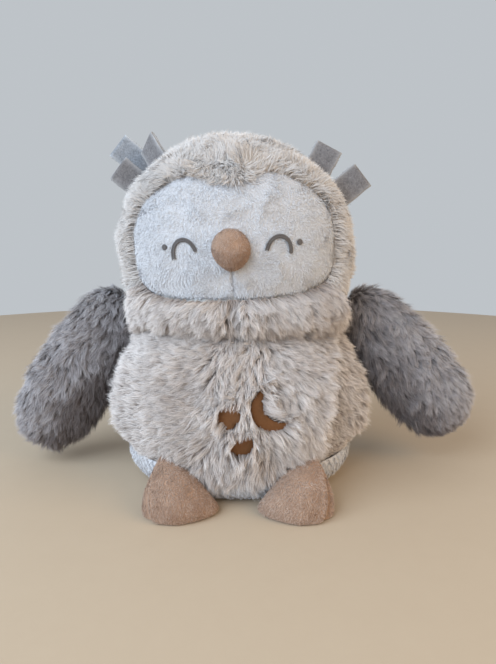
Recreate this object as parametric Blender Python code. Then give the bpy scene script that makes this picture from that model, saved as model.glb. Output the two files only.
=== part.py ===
"""Seated plush owl: a squat body, a hooded head, two stuffed wings and two stuffed feet.

Units are metres, +Z is up, and the owl looks along -Y. Left and right are the owl's own, so left
is +X. The origin is the middle of the flat seat. The body and the head are fillings inside
cut-and-sewn panels, and a panel's outer face lies half way up its pile, where a light touch stops.
"""

import math

import bmesh
import bpy
import numpy as np
from mathutils import Matrix, Vector

MM = 0.001

# The neck seam, which the body and the head share
NECK_HEIGHT = 106 * MM

# Body
BODY_HALF_WIDTH = 86 * MM
BODY_FRONT = 76 * MM
BODY_BACK = 72 * MM
BODY_WIDEST_HEIGHT = 48 * MM
SEAT_HALF_WIDTH = 66 * MM

# Head, widest some way above the neck, where it is drawn in on either side. It leans to the owl's
# right above the neck and is turned a little that way.
HEAD_WIDEST_RISE = 52 * MM
HEAD_WIDEST_HEIGHT = NECK_HEIGHT + HEAD_WIDEST_RISE
HEAD_CROWN_RISE = 72 * MM
HEAD_TOP = HEAD_WIDEST_HEIGHT + HEAD_CROWN_RISE
HEAD_HALF_WIDTH = 78.5 * MM
HEAD_FRONT = 69 * MM
HEAD_BACK = 66 * MM
NECK_DRAWN_IN = 11.5 * MM
NECK_HALF_WIDTH = HEAD_HALF_WIDTH - NECK_DRAWN_IN
HEAD_LEAN = math.radians(2.2)
HEAD_TURN = math.radians(-1.5)

# Cloth with its pile pressed half down, and the gaps between sewn pieces
CLOTH_THICKNESS = 7 * MM
FACE_CLOTH_THICKNESS = 4 * MM
CHIN_PUFF = 2.5 * MM
SEAM_GAP = 0.3 * MM
OVERRUN = 30 * MM

# Seam lines of the body
BELLY_TOP_HALF_WIDTH = 58 * MM
BELLY_BOTTOM_HALF_WIDTH = 46 * MM
BASE_SEAM_HEIGHT = 21 * MM

# Face panel, seen from the front, its middle a little above the head's widest height, and the
# hood as a rim on either side of it
FACE_RISE = 5 * MM
FACE_MIDDLE_HEIGHT = HEAD_WIDEST_HEIGHT + FACE_RISE
HOOD_RIM_WIDTH = 12 * MM
FACE_HALF_WIDTH = HEAD_HALF_WIDTH - HOOD_RIM_WIDTH
FACE_UP = 42 * MM
FACE_DOWN = 37 * MM
FACE_PEAK_DEPTH = 8.5 * MM
FACE_PEAK_HALF_WIDTH = 15.5 * MM
FACE_ROUNDNESS_SHARES = (2.3, 4.0)

# Chin band under the face, which ends short of the neck's sides, and the seam over the crown that
# the tabs are caught in
CHIN_END_GAP = 6 * MM
CHIN_HALF_WIDTH = NECK_HALF_WIDTH - CHIN_END_GAP
CROWN_SEAM_BACK = 4 * MM

# Beak, a little below the face's middle
BEAK_DROP = 6 * MM
BEAK_HEIGHT = FACE_MIDDLE_HEIGHT - BEAK_DROP
BEAK_HALF_WIDTH = 11 * MM
BEAK_HALF_HEIGHT = 11.5 * MM
BEAK_REACH = 11 * MM
BEAK_SHARES = (0, 0.9)

# Embroidered eyes, their ends below the face's middle
EYE_DROP = 8.5 * MM
EYE_HEIGHT = FACE_MIDDLE_HEIGHT - EYE_DROP
EYE_SPACING = 55 * MM
EYE_ARC_HALF_WIDTH = 7 * MM
EYE_ARC_RISE = 9 * MM
EYE_THREAD_WIDTH = 2.4 * MM
EYE_THREAD_HEIGHT = 1 * MM
EYE_TILT = math.radians(13)
EYE_DOT_OUT = 12.5 * MM
EYE_DOT_UP = 5 * MM
EYE_DOT_RADIUS = 1.7 * MM

# Folded felt tabs, sewn into the hood seam over the crown
TAB_WIDTH = 18.5 * MM
TAB_THICKNESS = 2.6 * MM
TAB_ROOT = 5 * MM
TAB_SHORT = 18.5 * MM
TAB_MIDDLE = 23 * MM
TAB_LONG = 31 * MM
TAB_BEHIND = 10 * MM
TAB_AHEAD = 6 * MM

# Patches on the belly
PATCH_THICKNESS = 1 * MM
MOON_RADIUS = 13.5 * MM
MOON_BITE_RADIUS = 12.2 * MM
MOON_BITE_SHIFT = 7.4 * MM
MOON_BITE_ANGLE = math.radians(32)
MOON_ACROSS = 21 * MM
MOON_HEIGHT = 64 * MM
STAR_RADIUS = 9.5 * MM
STAR_ACROSS = -5 * MM
STAR_HEIGHT = 61 * MM
STAR_ARMS = 5
STAR_SHARES = (0.78, 0.22)
STAR_LEAN = math.radians(-18)
DOT_RADIUS = 7.5 * MM
DOT_ACROSS = 2 * MM
DOT_HEIGHT = 43 * MM

# Wings, measured along their own length from the shoulder, which lies a little above the neck
WING_LENGTH = 112 * MM
WING_ROOT_RADIUS = 18 * MM
WING_HALF_WIDTH = 27.5 * MM
WING_HALF_THICKNESS = 17 * MM
WING_SHARES = (0.2, 0.75)
WING_DROOPS = {"left": math.radians(50), "right": math.radians(57.5)}
SHOULDER_RISE = 6 * MM
SHOULDER_CLEARANCE = 0.1 * MM

# Feet: drops with a pointed tip that lean back on the belly, their toes turned in and swollen
FOOT_HALF_LENGTH = 26.2 * MM
FOOT_HALF_WIDTH = 19 * MM
FOOT_HALF_THICKNESS = 14.5 * MM
FOOT_SHARES = (-0.43, 1.45)
FOOT_TOE_SWELL = 7.5 * MM
FOOT_TOE_SHARES = (-0.7, 0.345)
FOOT_SPREAD = 39.2 * MM
FOOT_MIDDLE_HEIGHT = 10.2 * MM
FOOT_LEAN = math.radians(30)
FOOT_TURN_IN = math.radians(16)
FOOT_TIP_TUCK = 3 * MM
FOOT_SEAM_RISE = 4 * MM

# Fineness of the meshes
AROUND = 32
FORM_ROWS = 13
DROP_AROUND = 20
DROP_ROWS = 12
OUTLINE_POINTS = 28
ARM_POINTS = 6
FOLD_POINTS = 7


def material(name, colour, roughness):
    """A plain Principled material for one kind of cloth or thread."""
    made = bpy.data.materials.new(name)
    made.use_nodes = True
    shader = made.node_tree.nodes["Principled BSDF"]
    shader.inputs["Base Color"].default_value = (*colour, 1.0)
    shader.inputs["Roughness"].default_value = roughness
    shader.inputs["Metallic"].default_value = 0.0
    return made


def add_object(name, points, faces, finish, smooth=True):
    """A named object from points and faces, its faces turned outwards, or a hidden guide."""
    mesh = bpy.data.meshes.new(name)
    mesh.from_pydata([tuple(point) for point in points], [], faces)
    work = bmesh.new()
    work.from_mesh(mesh)
    bmesh.ops.recalc_face_normals(work, faces=work.faces)
    work.to_mesh(mesh)
    work.free()
    if finish is None:
        made = bpy.data.objects.new(name, mesh)
        made.hide_render = True
        made.display_type = "WIRE"
    else:
        mesh.materials.append(finish)
        made = bpy.data.objects.new(name, mesh)
        if smooth:
            mesh.shade_smooth()
            mesh.set_sharp_from_angle(angle=math.radians(40))
    bpy.context.scene.collection.objects.link(made)
    return made


def cut(target, tool, operation):
    """Cut the target with another object, which stays as a hidden guide."""
    boolean = target.modifiers.new(operation.lower(), "BOOLEAN")
    boolean.operation = operation
    boolean.solver = "EXACT"
    boolean.object = tool


def move_origin(target, point):
    """Put an object's origin on a point, its shape staying where it is."""
    target.data.transform(Matrix.Translation(-Vector(point)))
    target.location = point


def reach(drop, widest, narrowed):
    """Semi-axis of an ellipse that narrows from its widest to a smaller width over the drop."""
    return drop / math.sqrt(1 - (narrowed / widest) ** 2)


class StuffedForm:
    """An upright oval form that swells to its widest height, deeper or flatter behind than in front.

    Both ends may be cut flat. The reaches are the semi-axes of its side outline above and below.
    """

    def __init__(self, half_width, front, back, widest_height, lower_reach, upper_reach, ends):
        self.half_width = half_width
        self.front = front
        self.back = back
        self.widest_height = widest_height
        self.lower_reach = lower_reach
        self.upper_reach = upper_reach
        self.ends = ends

    def width_at(self, height):
        """Half width of the outside at one height."""
        above = height > self.widest_height
        semi = self.upper_reach if above else self.lower_reach
        return self.half_width * math.sqrt(max(1 - ((height - self.widest_height) / semi) ** 2, 0))

    def rows(self, inset, low, high):
        """Rings of points from the low to the high cut, the whole form drawn in by the inset."""
        lower = self.lower_reach - inset
        upper = self.upper_reach - inset
        start = math.asin(max((low - self.widest_height) / lower, -1))
        end = math.asin(min((high - self.widest_height) / upper, 1))
        tilt = np.linspace(start, end, FORM_ROWS)[:, None]
        turn = np.linspace(0, 2 * math.pi, AROUND, endpoint=False)[None, :]
        depth = np.where(np.sin(turn) < 0, self.front, self.back) - inset
        x = (self.half_width - inset) * np.cos(tilt) * np.cos(turn)
        y = depth * np.cos(tilt) * np.sin(turn)
        z = self.widest_height + np.where(tilt > 0, upper, lower) * np.sin(tilt)
        return np.stack([x, y, z + np.zeros_like(x)], axis=-1)

    def front_at(self, across, height, inset):
        """How far forward the inset surface lies at a point seen from the front."""
        share = self.width_at(height) / self.half_width
        wide = (self.half_width - inset) * share
        return (self.front - inset) * share * math.sqrt(max(1 - (across / wide) ** 2, 0))


def strip(lower, upper):
    """Faces between two rings of point numbers."""
    count = len(lower)
    return [
        (lower[k], lower[(k + 1) % count], upper[(k + 1) % count], upper[k]) for k in range(count)
    ]


def fan(ring, pole):
    """Faces from a ring of point numbers to one point."""
    return [(ring[k], ring[(k + 1) % len(ring)], pole) for k in range(len(ring))]


def rings_to_faces(rings):
    """Faces along a list of rings, without the ends."""
    faces = []
    for lower, upper in zip(rings[:-1], rings[1:]):
        faces += strip(lower, upper)
    return faces


def number_rings(rows, first):
    """Point numbers of each ring, counted on from the first."""
    count = rows.shape[1]
    return [list(range(first + k * count, first + (k + 1) * count)) for k in range(rows.shape[0])]


def solid_form(name, form, inset, low, high, finish):
    """A form as one closed solid, flat at both ends or rounded to a pole."""
    rows = form.rows(inset, low, high)
    flat_top = high < form.widest_height + form.upper_reach - inset
    if not flat_top:
        rows = rows[:-1]
    points = rows.reshape(-1, 3).tolist()
    rings = number_rings(rows, 0)
    faces = rings_to_faces(rings) + [rings[0]]
    if flat_top:
        faces.append(rings[-1])
    else:
        faces += fan(rings[-1], len(points))
        points.append((0, 0, high))
    return add_object(name, points, faces, finish)


def cloth(name, form, outer_inset, inner_inset, finish):
    """The cloth round a form between two depths: open at the neck, closed at the other end."""
    points = []
    faces = []
    edges = []
    for inset in (outer_inset, inner_inset):
        if form.ends == "domed":
            high = form.widest_height + form.upper_reach - inset
            rows = form.rows(inset, NECK_HEIGHT + SEAM_GAP, high)[-2::-1]
            rings = number_rings(rows, len(points) + 1)
            faces += fan(rings[0], len(points))
            points.append((0, 0, high))
        else:
            rows = form.rows(inset, inset, NECK_HEIGHT)
            rings = number_rings(rows, len(points))
            faces.append(rings[0])
        points += rows.reshape(-1, 3).tolist()
        faces += rings_to_faces(rings)
        edges.append(rings[-1])
    faces += strip(edges[0], edges[1])
    return add_object(name, points, faces, finish)


def prism(name, outline, start, end):
    """A hidden cutter: an outline in X and Z carried from one Y to another."""
    count = len(outline)
    points = [(x, start, z) for x, z in outline] + [(x, end, z) for x, z in outline]
    near = list(range(count))
    far = list(range(count, 2 * count))
    return add_object(name, points, strip(near, far) + [near, far], None)


def drop(name, half_length, half_width, half_thickness, shares, finish):
    """A stuffed drop along +X, oval across.

    The shares are its taper, positive with the fuller end ahead, and how pointed its ends are:
    1 for an ellipse, less for blunter ends.
    """
    taper_share, point_share = shares
    tilt = np.linspace(0, math.pi, DROP_ROWS + 1)[1:-1, None]
    turn = np.linspace(0, 2 * math.pi, DROP_AROUND, endpoint=False)[None, :]
    swell = np.sin(tilt) ** point_share * (1 - taper_share * np.cos(tilt))
    x = -half_length * np.cos(tilt) + np.zeros_like(turn)
    y = half_thickness * swell * np.cos(turn)
    z = half_width * swell * np.sin(turn)
    rows = np.stack([x, y, z], axis=-1)
    points = rows.reshape(-1, 3).tolist() + [(-half_length, 0, 0), (half_length, 0, 0)]
    rings = number_rings(rows, 0)
    faces = rings_to_faces(rings)
    faces += fan(rings[0], len(points) - 2) + fan(rings[-1], len(points) - 1)
    return add_object(name, points, faces, finish)


def swell_toe(foot, side):
    """Swell the inner side of a foot towards its toe, by a bell along its length."""
    where_share, spread_share = FOOT_TOE_SHARES
    for vertex in foot.data.vertices:
        deep = vertex.co.y / FOOT_HALF_THICKNESS
        across = side * vertex.co.z / FOOT_HALF_WIDTH
        if across > 0:
            along = (vertex.co.x / FOOT_HALF_LENGTH - where_share) / spread_share
            inner_share = across / math.hypot(deep, across)
            vertex.co.z += side * FOOT_TOE_SWELL * inner_share * math.exp(-(along**2))


def leaned(outline):
    """An outline on the face, raised on the owl's left as the head leans to its right."""
    return [(x, z + x * math.tan(HEAD_LEAN)) for x, z in outline]


def face_outline(margin):
    """Outline of the face seen from the front, a round-cornered shield with a peak cut in its top."""
    points = []
    for turn in np.linspace(0, 2 * math.pi, 2 * OUTLINE_POINTS, endpoint=False):
        upper = math.sin(turn) > 0
        power = FACE_ROUNDNESS_SHARES[0 if upper else 1]
        size = (abs(math.cos(turn)) ** power + abs(math.sin(turn)) ** power) ** (-1 / power)
        x = (FACE_HALF_WIDTH + margin) * size * math.cos(turn)
        z = ((FACE_UP if upper else FACE_DOWN) + margin) * size * math.sin(turn)
        if upper:
            z -= FACE_PEAK_DEPTH * math.exp(-((x / FACE_PEAK_HALF_WIDTH) ** 2))
        points.append((x, FACE_MIDDLE_HEIGHT + z))
    return leaned(points)


def circle_outline(across, height, radius):
    """Outline of a round patch."""
    turns = np.linspace(0, 2 * math.pi, OUTLINE_POINTS, endpoint=False)
    return [(across + radius * math.cos(turn), height + radius * math.sin(turn)) for turn in turns]


def star_outline(across, height, radius):
    """Outline of a star with soft arms."""
    middle_share, arm_share = STAR_SHARES
    points = []
    for turn in np.linspace(0, 2 * math.pi, STAR_ARMS * ARM_POINTS, endpoint=False):
        size = radius * (middle_share + arm_share * math.cos(STAR_ARMS * turn))
        x = across + size * math.cos(turn + STAR_LEAN)
        points.append((x, height + size * math.sin(turn + STAR_LEAN)))
    return points


def moon_outline():
    """Outline of a crescent: the arc of a circle that a second circle bites into."""
    shift = MOON_BITE_SHIFT
    meet = (MOON_RADIUS**2 - MOON_BITE_RADIUS**2 + shift**2) / (2 * shift)
    outer_half = math.acos(meet / MOON_RADIUS)
    inner_half = math.acos((meet - shift) / MOON_BITE_RADIUS)
    outer = np.linspace(outer_half, 2 * math.pi - outer_half, OUTLINE_POINTS)
    inner = np.linspace(2 * math.pi - inner_half, inner_half, OUTLINE_POINTS)[1:-1]
    flat = [(MOON_RADIUS * math.cos(turn), MOON_RADIUS * math.sin(turn)) for turn in outer]
    flat += [
        (shift + MOON_BITE_RADIUS * math.cos(turn), MOON_BITE_RADIUS * math.sin(turn))
        for turn in inner
    ]
    lean = Matrix.Rotation(MOON_BITE_ANGLE, 2)
    placed = [lean @ Vector(point) for point in flat]
    return [(MOON_ACROSS + point.x, MOON_HEIGHT + point.y) for point in placed]


def eye_outline(side):
    """Outline of a closed eye: a band of stitches along half an ellipse, its outer end lower."""
    half = EYE_THREAD_WIDTH / 2
    turns = np.linspace(0, math.pi, OUTLINE_POINTS // 2)
    band = []
    for grown, order in ((half, turns), (-half, turns[::-1])):
        for turn in order:
            across = (EYE_ARC_HALF_WIDTH + grown) * math.cos(turn)
            band.append((across, (EYE_ARC_RISE + grown) * math.sin(turn)))
    tilt = Matrix.Rotation(-side * EYE_TILT, 2)
    placed = [tilt @ Vector(point) for point in band]
    across = side * EYE_SPACING / 2
    return leaned([(across + point.x, EYE_HEIGHT + point.y) for point in placed])


def sewn_on(name, form, outline, surface_inset, thickness, finish):
    """A thin piece lying on a form's front, cut to an outline seen from the front."""
    made = cloth(name, form, surface_inset - SEAM_GAP - thickness, surface_inset - SEAM_GAP, finish)
    cutter = prism(name + "_outline", outline, -form.front - OVERRUN, 0)
    cut(made, cutter, "INTERSECT")
    return made


def build_body(body, finishes):
    """Filling, belly panel, back panel and base panel, parted along their seams."""
    core_inset = CLOTH_THICKNESS + SEAM_GAP
    solid_form("body_filling", body, core_inset, core_inset, NECK_HEIGHT, finishes["filling"])

    top = NECK_HEIGHT + OVERRUN
    flare = (BELLY_TOP_HALF_WIDTH - BELLY_BOTTOM_HALF_WIDTH) / (NECK_HEIGHT - BASE_SEAM_HEIGHT)

    def belly_outline(margin, floor):
        low = BELLY_BOTTOM_HALF_WIDTH + (floor - BASE_SEAM_HEIGHT) * flare + margin
        high = BELLY_TOP_HALF_WIDTH + (top - NECK_HEIGHT) * flare + margin
        return [(-low, floor), (low, floor), (high, top), (-high, top)]

    front = -BODY_FRONT - OVERRUN
    wide = BODY_HALF_WIDTH + OVERRUN
    above_seam = BASE_SEAM_HEIGHT + SEAM_GAP
    upper_box = [(-wide, above_seam), (wide, above_seam), (wide, top), (-wide, top)]
    lower_box = [
        (-wide, -OVERRUN),
        (wide, -OVERRUN),
        (wide, BASE_SEAM_HEIGHT),
        (-wide, BASE_SEAM_HEIGHT),
    ]

    belly = cloth("belly_panel", body, 0, CLOTH_THICKNESS, finishes["beige_fur"])
    cut(belly, prism("belly_outline", belly_outline(0, above_seam), front, 0), "INTERSECT")

    back = cloth("back_panel", body, 0, CLOTH_THICKNESS, finishes["beige_fur"])
    cut(back, prism("above_base_seam", upper_box, front, BODY_BACK + OVERRUN), "INTERSECT")
    opening = prism("belly_opening", belly_outline(SEAM_GAP, -OVERRUN), front, SEAM_GAP)
    cut(back, opening, "DIFFERENCE")

    base = cloth("base_panel", body, 0, CLOTH_THICKNESS, finishes["white_velour"])
    cut(base, prism("below_base_seam", lower_box, front, BODY_BACK + OVERRUN), "INTERSECT")


def build_head(head, finishes):
    """Filling, front and back of the hood, face panel and chin band, parted along their seams."""
    low = NECK_HEIGHT + SEAM_GAP
    core_inset = CLOTH_THICKNESS + SEAM_GAP
    core_top = head.widest_height + head.upper_reach - core_inset
    solid_form("head_filling", head, core_inset, low, core_top, finishes["filling"])

    front = -HEAD_FRONT - OVERRUN
    face_opening = prism("face_opening", face_outline(SEAM_GAP), front, 0)
    chin_top = FACE_MIDDLE_HEIGHT - FACE_DOWN / 2

    def chin_outline(margin):
        wide = CHIN_HALF_WIDTH + margin
        floor = NECK_HEIGHT - OVERRUN
        return [(-wide, floor), (wide, floor), (wide, chin_top), (-wide, chin_top)]

    chin_opening = prism("chin_opening", chin_outline(SEAM_GAP), front, 0)

    face_inset = CLOTH_THICKNESS - FACE_CLOTH_THICKNESS
    face = cloth("face_panel", head, face_inset, CLOTH_THICKNESS, finishes["white_velour"])
    cut(face, prism("face_cut", face_outline(0), front, 0), "INTERSECT")

    chin = cloth("chin_band", head, -CHIN_PUFF, CLOTH_THICKNESS, finishes["beige_fur"])
    cut(chin, prism("chin_cut", chin_outline(0), front, 0), "INTERSECT")
    cut(chin, face_opening, "DIFFERENCE")

    wide = HEAD_HALF_WIDTH + OVERRUN
    top = HEAD_TOP + OVERRUN
    floor = NECK_HEIGHT - OVERRUN
    whole = [(-wide, floor), (wide, floor), (wide, top), (-wide, top)]
    hood = cloth("hood_front", head, 0, CLOTH_THICKNESS, finishes["beige_fur"])
    cut(hood, prism("before_crown_seam", whole, front, CROWN_SEAM_BACK), "INTERSECT")
    cut(hood, face_opening, "DIFFERENCE")
    cut(hood, chin_opening, "DIFFERENCE")

    back = cloth("hood_back", head, 0, CLOTH_THICKNESS, finishes["beige_fur"])
    behind = prism("behind_crown_seam", whole, CROWN_SEAM_BACK + SEAM_GAP, HEAD_BACK + OVERRUN)
    cut(back, behind, "INTERSECT")


def head_pose():
    """Turn of the head about the upright, then its lean, as a shear that keeps the neck level."""
    slope = math.tan(HEAD_LEAN)
    lean = Matrix.Identity(4)
    lean[0][2] = -slope
    lean[0][3] = slope * NECK_HEIGHT
    return lean @ Matrix.Rotation(HEAD_TURN, 4, "Z")


def build_features(head, finishes):
    """Beak and embroidered eyes on the face."""
    face_inset = CLOTH_THICKNESS - FACE_CLOTH_THICKNESS
    seat = head.front_at(0, BEAK_HEIGHT, face_inset)
    beak = drop(
        "beak",
        BEAK_REACH,
        BEAK_HALF_HEIGHT,
        BEAK_HALF_WIDTH,
        BEAK_SHARES,
        finishes["tan_velour"],
    )
    forward = Matrix.Rotation(math.radians(-90), 4, "Z")
    beak.data.transform(Matrix.Translation((0, -seat, BEAK_HEIGHT)) @ forward)
    face_guide = solid_form(
        "face_guide",
        head,
        face_inset - SEAM_GAP,
        NECK_HEIGHT,
        head.widest_height + head.upper_reach - face_inset + SEAM_GAP,
        None,
    )
    cut(beak, face_guide, "DIFFERENCE")

    thread = finishes["eye_thread"]
    for side, word in ((1, "left"), (-1, "right")):
        name = word + "_eye_arc"
        sewn_on(name, head, eye_outline(side), face_inset, EYE_THREAD_HEIGHT, thread)
        across = side * (EYE_SPACING / 2 + EYE_DOT_OUT)
        dot = leaned(circle_outline(across, EYE_HEIGHT + EYE_DOT_UP, EYE_DOT_RADIUS))
        sewn_on(word + "_eye_dot", head, dot, face_inset, EYE_THREAD_HEIGHT, thread)


def felt_tab(name, length, finish):
    """A strip of felt folded double, its fold outwards along +Z and its raw ends at the root."""
    half = TAB_THICKNESS / 2
    turns = np.linspace(0, math.pi, FOLD_POINTS)
    profile = [(half * math.cos(turn), length - half + half * math.sin(turn)) for turn in turns]
    profile += [(-half, -TAB_ROOT), (half, -TAB_ROOT)]
    points = [(x, y, z) for x in (-TAB_WIDTH / 2, TAB_WIDTH / 2) for y, z in profile]
    near = list(range(len(profile)))
    far = list(range(len(profile), len(points)))
    return add_object(name, points, strip(near, far) + [near, far], finish, smooth=False)


def build_tabs(head, head_guide, finishes):
    """Five tabs that stand out of the hood.

    Each has its angle up the head's side, how far it leans from square to the hood, how far it
    swings forward and twists, in degrees, its length, and how far behind the middle it is sewn.
    """
    tabs = {
        "right_tab_low": (-1, (34.5, 4, 0, 0), TAB_SHORT, 0),
        "right_tab_back": (-1, (43.5, -5.5, 0, 0), TAB_LONG, TAB_BEHIND),
        "right_tab_high": (-1, (51, 3, -25, -35), TAB_SHORT, -TAB_AHEAD),
        "left_tab_high": (1, (44, 15, 0, 0), TAB_SHORT, 0),
        "left_tab_low": (1, (28, 8, 0, 0), TAB_MIDDLE, 0),
    }
    for name, (side, angles, length, behind) in tabs.items():
        climb, lean, swing, twist = (math.radians(angle) for angle in angles)
        finish = finishes["light_felt" if length == TAB_LONG else "grey_felt"]
        made = felt_tab(name, length, finish)
        x = side * head.half_width * math.cos(climb)
        z = head.widest_height + head.upper_reach * math.sin(climb)
        steep = math.atan2(math.sin(climb) / head.upper_reach, math.cos(climb) / head.half_width)
        away = Matrix.Rotation(side * (math.pi / 2 - steep - lean), 4, "Y")
        turned = away @ Matrix.Rotation(swing, 4, "X") @ Matrix.Rotation(twist, 4, "Z")
        made.data.transform(Matrix.Translation((x, behind, z)) @ turned)
        cut(made, head_guide, "DIFFERENCE")


def build_patches(body, finishes):
    """Moon, star and dot sewn on the belly."""
    outlines = {
        "moon_patch": moon_outline(),
        "star_patch": star_outline(STAR_ACROSS, STAR_HEIGHT, STAR_RADIUS),
        "dot_patch": circle_outline(DOT_ACROSS, DOT_HEIGHT, DOT_RADIUS),
    }
    for name, outline in outlines.items():
        sewn_on(name, body, outline, 0, PATCH_THICKNESS, finishes["brown_suede"])


def shoulder_across(body, head, side):
    """How far out a shoulder lies so that the wing's round root just clears body and head."""
    clear = WING_ROOT_RADIUS + SHOULDER_CLEARANCE
    across = NECK_HALF_WIDTH
    for step in np.linspace(-clear, clear, 2 * OUTLINE_POINTS):
        above_neck = SHOULDER_RISE + step
        form = head if above_neck > 0 else body
        surface = form.width_at(NECK_HEIGHT + above_neck)
        surface -= side * max(above_neck, 0) * math.tan(HEAD_LEAN)
        across = max(across, surface + math.sqrt(clear**2 - step**2))
    return across


def build_wings(body, head, body_guide, head_guide, finishes):
    """Wings hinged front to back at the shoulders, hanging against the body's sides."""
    half_length = (WING_LENGTH + WING_ROOT_RADIUS) / 2
    for side, word in ((1, "left"), (-1, "right")):
        wing = drop(
            word + "_wing",
            half_length,
            WING_HALF_WIDTH,
            WING_HALF_THICKNESS,
            WING_SHARES,
            finishes["grey_fur"],
        )
        wing.data.transform(Matrix.Translation((half_length - WING_ROOT_RADIUS, 0, 0)))
        droop = WING_DROOPS[word]
        across = side * shoulder_across(body, head, side)
        wing.location = (across, 0, NECK_HEIGHT + SHOULDER_RISE)
        wing.rotation_euler = (0, droop if side > 0 else math.pi - droop, 0)
        cut(wing, body_guide, "DIFFERENCE")
        cut(wing, head_guide, "DIFFERENCE")


def build_feet(body, body_guide, finishes):
    """Feet hinged side to side at their upper tips, which lie on the belly, their soles flat."""
    floor = [
        (-BODY_HALF_WIDTH, -FOOT_HALF_LENGTH - OVERRUN),
        (BODY_HALF_WIDTH, -FOOT_HALF_LENGTH - OVERRUN),
        (BODY_HALF_WIDTH, 0),
        (-BODY_HALF_WIDTH, 0),
    ]
    ground = prism("ground", floor, -2 * BODY_FRONT, 0)
    for side, word in ((1, "left"), (-1, "right")):
        foot = drop(
            word + "_foot",
            FOOT_HALF_LENGTH,
            FOOT_HALF_WIDTH,
            FOOT_HALF_THICKNESS,
            FOOT_SHARES,
            finishes["tan_velour"],
        )
        swell_toe(foot, side)
        upright = Matrix.Rotation(math.radians(-90), 4, "Y")
        lean = Matrix.Rotation(-FOOT_LEAN, 4, "X")
        turn = Matrix.Rotation(side * FOOT_TURN_IN, 4, "Y")
        shape = lean @ turn @ upright
        tip = shape @ Vector((FOOT_HALF_LENGTH, 0, 0))
        tip_height = FOOT_MIDDLE_HEIGHT + tip.z
        tip_across = side * FOOT_SPREAD + tip.x
        tip_front = -body.front_at(tip_across, tip_height, 0) + FOOT_TIP_TUCK
        middle = Vector((side * FOOT_SPREAD, tip_front - tip.y, FOOT_MIDDLE_HEIGHT))
        foot.data.transform(Matrix.Translation(middle) @ shape)
        move_origin(foot, (tip_across, tip_front - FOOT_TIP_TUCK, tip_height + FOOT_SEAM_RISE))
        cut(foot, body_guide, "DIFFERENCE")
        cut(foot, ground, "DIFFERENCE")


def main():
    for old in list(bpy.data.objects):
        bpy.data.objects.remove(old, do_unlink=True)

    finishes = {
        "filling": material("polyester_filling", (0.85, 0.85, 0.83), 0.95),
        "beige_fur": material("beige_fur", (0.56, 0.52, 0.47), 0.95),
        "grey_fur": material("grey_fur", (0.21, 0.20, 0.20), 0.95),
        "white_velour": material("white_velour", (0.70, 0.71, 0.73), 0.9),
        "tan_velour": material("tan_velour", (0.38, 0.26, 0.19), 0.9),
        "brown_suede": material("brown_suede", (0.20, 0.09, 0.035), 0.8),
        "eye_thread": material("eye_thread", (0.10, 0.10, 0.105), 0.55),
        "grey_felt": material("grey_felt", (0.24, 0.23, 0.24), 0.95),
        "light_felt": material("light_felt", (0.37, 0.38, 0.42), 0.95),
    }

    body = StuffedForm(
        BODY_HALF_WIDTH,
        BODY_FRONT,
        BODY_BACK,
        BODY_WIDEST_HEIGHT,
        reach(BODY_WIDEST_HEIGHT, BODY_HALF_WIDTH, SEAT_HALF_WIDTH),
        reach(NECK_HEIGHT - BODY_WIDEST_HEIGHT, BODY_HALF_WIDTH, NECK_HALF_WIDTH),
        "flat",
    )
    head = StuffedForm(
        HEAD_HALF_WIDTH,
        HEAD_FRONT,
        HEAD_BACK,
        HEAD_WIDEST_HEIGHT,
        reach(HEAD_WIDEST_HEIGHT - NECK_HEIGHT, HEAD_HALF_WIDTH, NECK_HALF_WIDTH),
        HEAD_TOP - HEAD_WIDEST_HEIGHT,
        "domed",
    )
    body_guide = solid_form("body_guide", body, -SEAM_GAP, 0, NECK_HEIGHT, None)
    build_body(body, finishes)
    build_patches(body, finishes)
    build_feet(body, body_guide, finishes)

    below_neck = set(bpy.data.objects)
    head_guide = solid_form(
        "head_guide", head, -SEAM_GAP, NECK_HEIGHT, HEAD_TOP + SEAM_GAP, None
    )
    build_head(head, finishes)
    build_features(head, finishes)
    build_tabs(head, head_guide, finishes)
    for made in set(bpy.data.objects) - below_neck:
        made.data.transform(head_pose())

    build_wings(body, head, body_guide, head_guide, finishes)


main()
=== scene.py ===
"""Looks of a seated plush owl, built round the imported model.

Metres, +Z up. The owl looks along -Y, and left and right are the owl's own, so left is +X.
"""

import math

import bmesh
import bpy
import numpy as np
from mathutils import Matrix, Vector


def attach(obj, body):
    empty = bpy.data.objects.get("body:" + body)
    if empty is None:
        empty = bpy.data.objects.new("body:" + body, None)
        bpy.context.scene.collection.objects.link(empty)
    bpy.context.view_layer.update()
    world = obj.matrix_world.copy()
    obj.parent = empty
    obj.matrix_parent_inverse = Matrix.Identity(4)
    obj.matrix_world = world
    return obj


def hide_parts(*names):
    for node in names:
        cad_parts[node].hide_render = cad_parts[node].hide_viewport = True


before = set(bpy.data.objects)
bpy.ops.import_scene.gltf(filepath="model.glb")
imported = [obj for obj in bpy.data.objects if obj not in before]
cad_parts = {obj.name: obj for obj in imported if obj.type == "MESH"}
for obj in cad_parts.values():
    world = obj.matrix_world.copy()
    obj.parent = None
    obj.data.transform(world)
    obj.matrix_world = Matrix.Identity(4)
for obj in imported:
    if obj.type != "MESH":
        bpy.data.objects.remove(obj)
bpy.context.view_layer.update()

# Body filling: loose polyester fibre, blown in until the body stands firm. It is a squat oval,
# flat at the seat and at the neck and a little deeper in front than behind, and it is lumpy, as
# fibre is. The sewn panels close round it.
MM = 0.001
NECK_HEIGHT, NECK_HALF_WIDTH = 106 * MM, 67 * MM
SEAT_HALF_WIDTH = 66 * MM
FILLING_DEPTH = 5.6 * MM
END_SHARE = 0.1
FIBRE_LUMP, FIBRE_LUMP_LENGTH = 0.5 * MM, 22 * MM
FIBRE_DARK, FIBRE_LIGHT = (0.62, 0.62, 0.60), (0.84, 0.84, 0.82)


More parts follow.
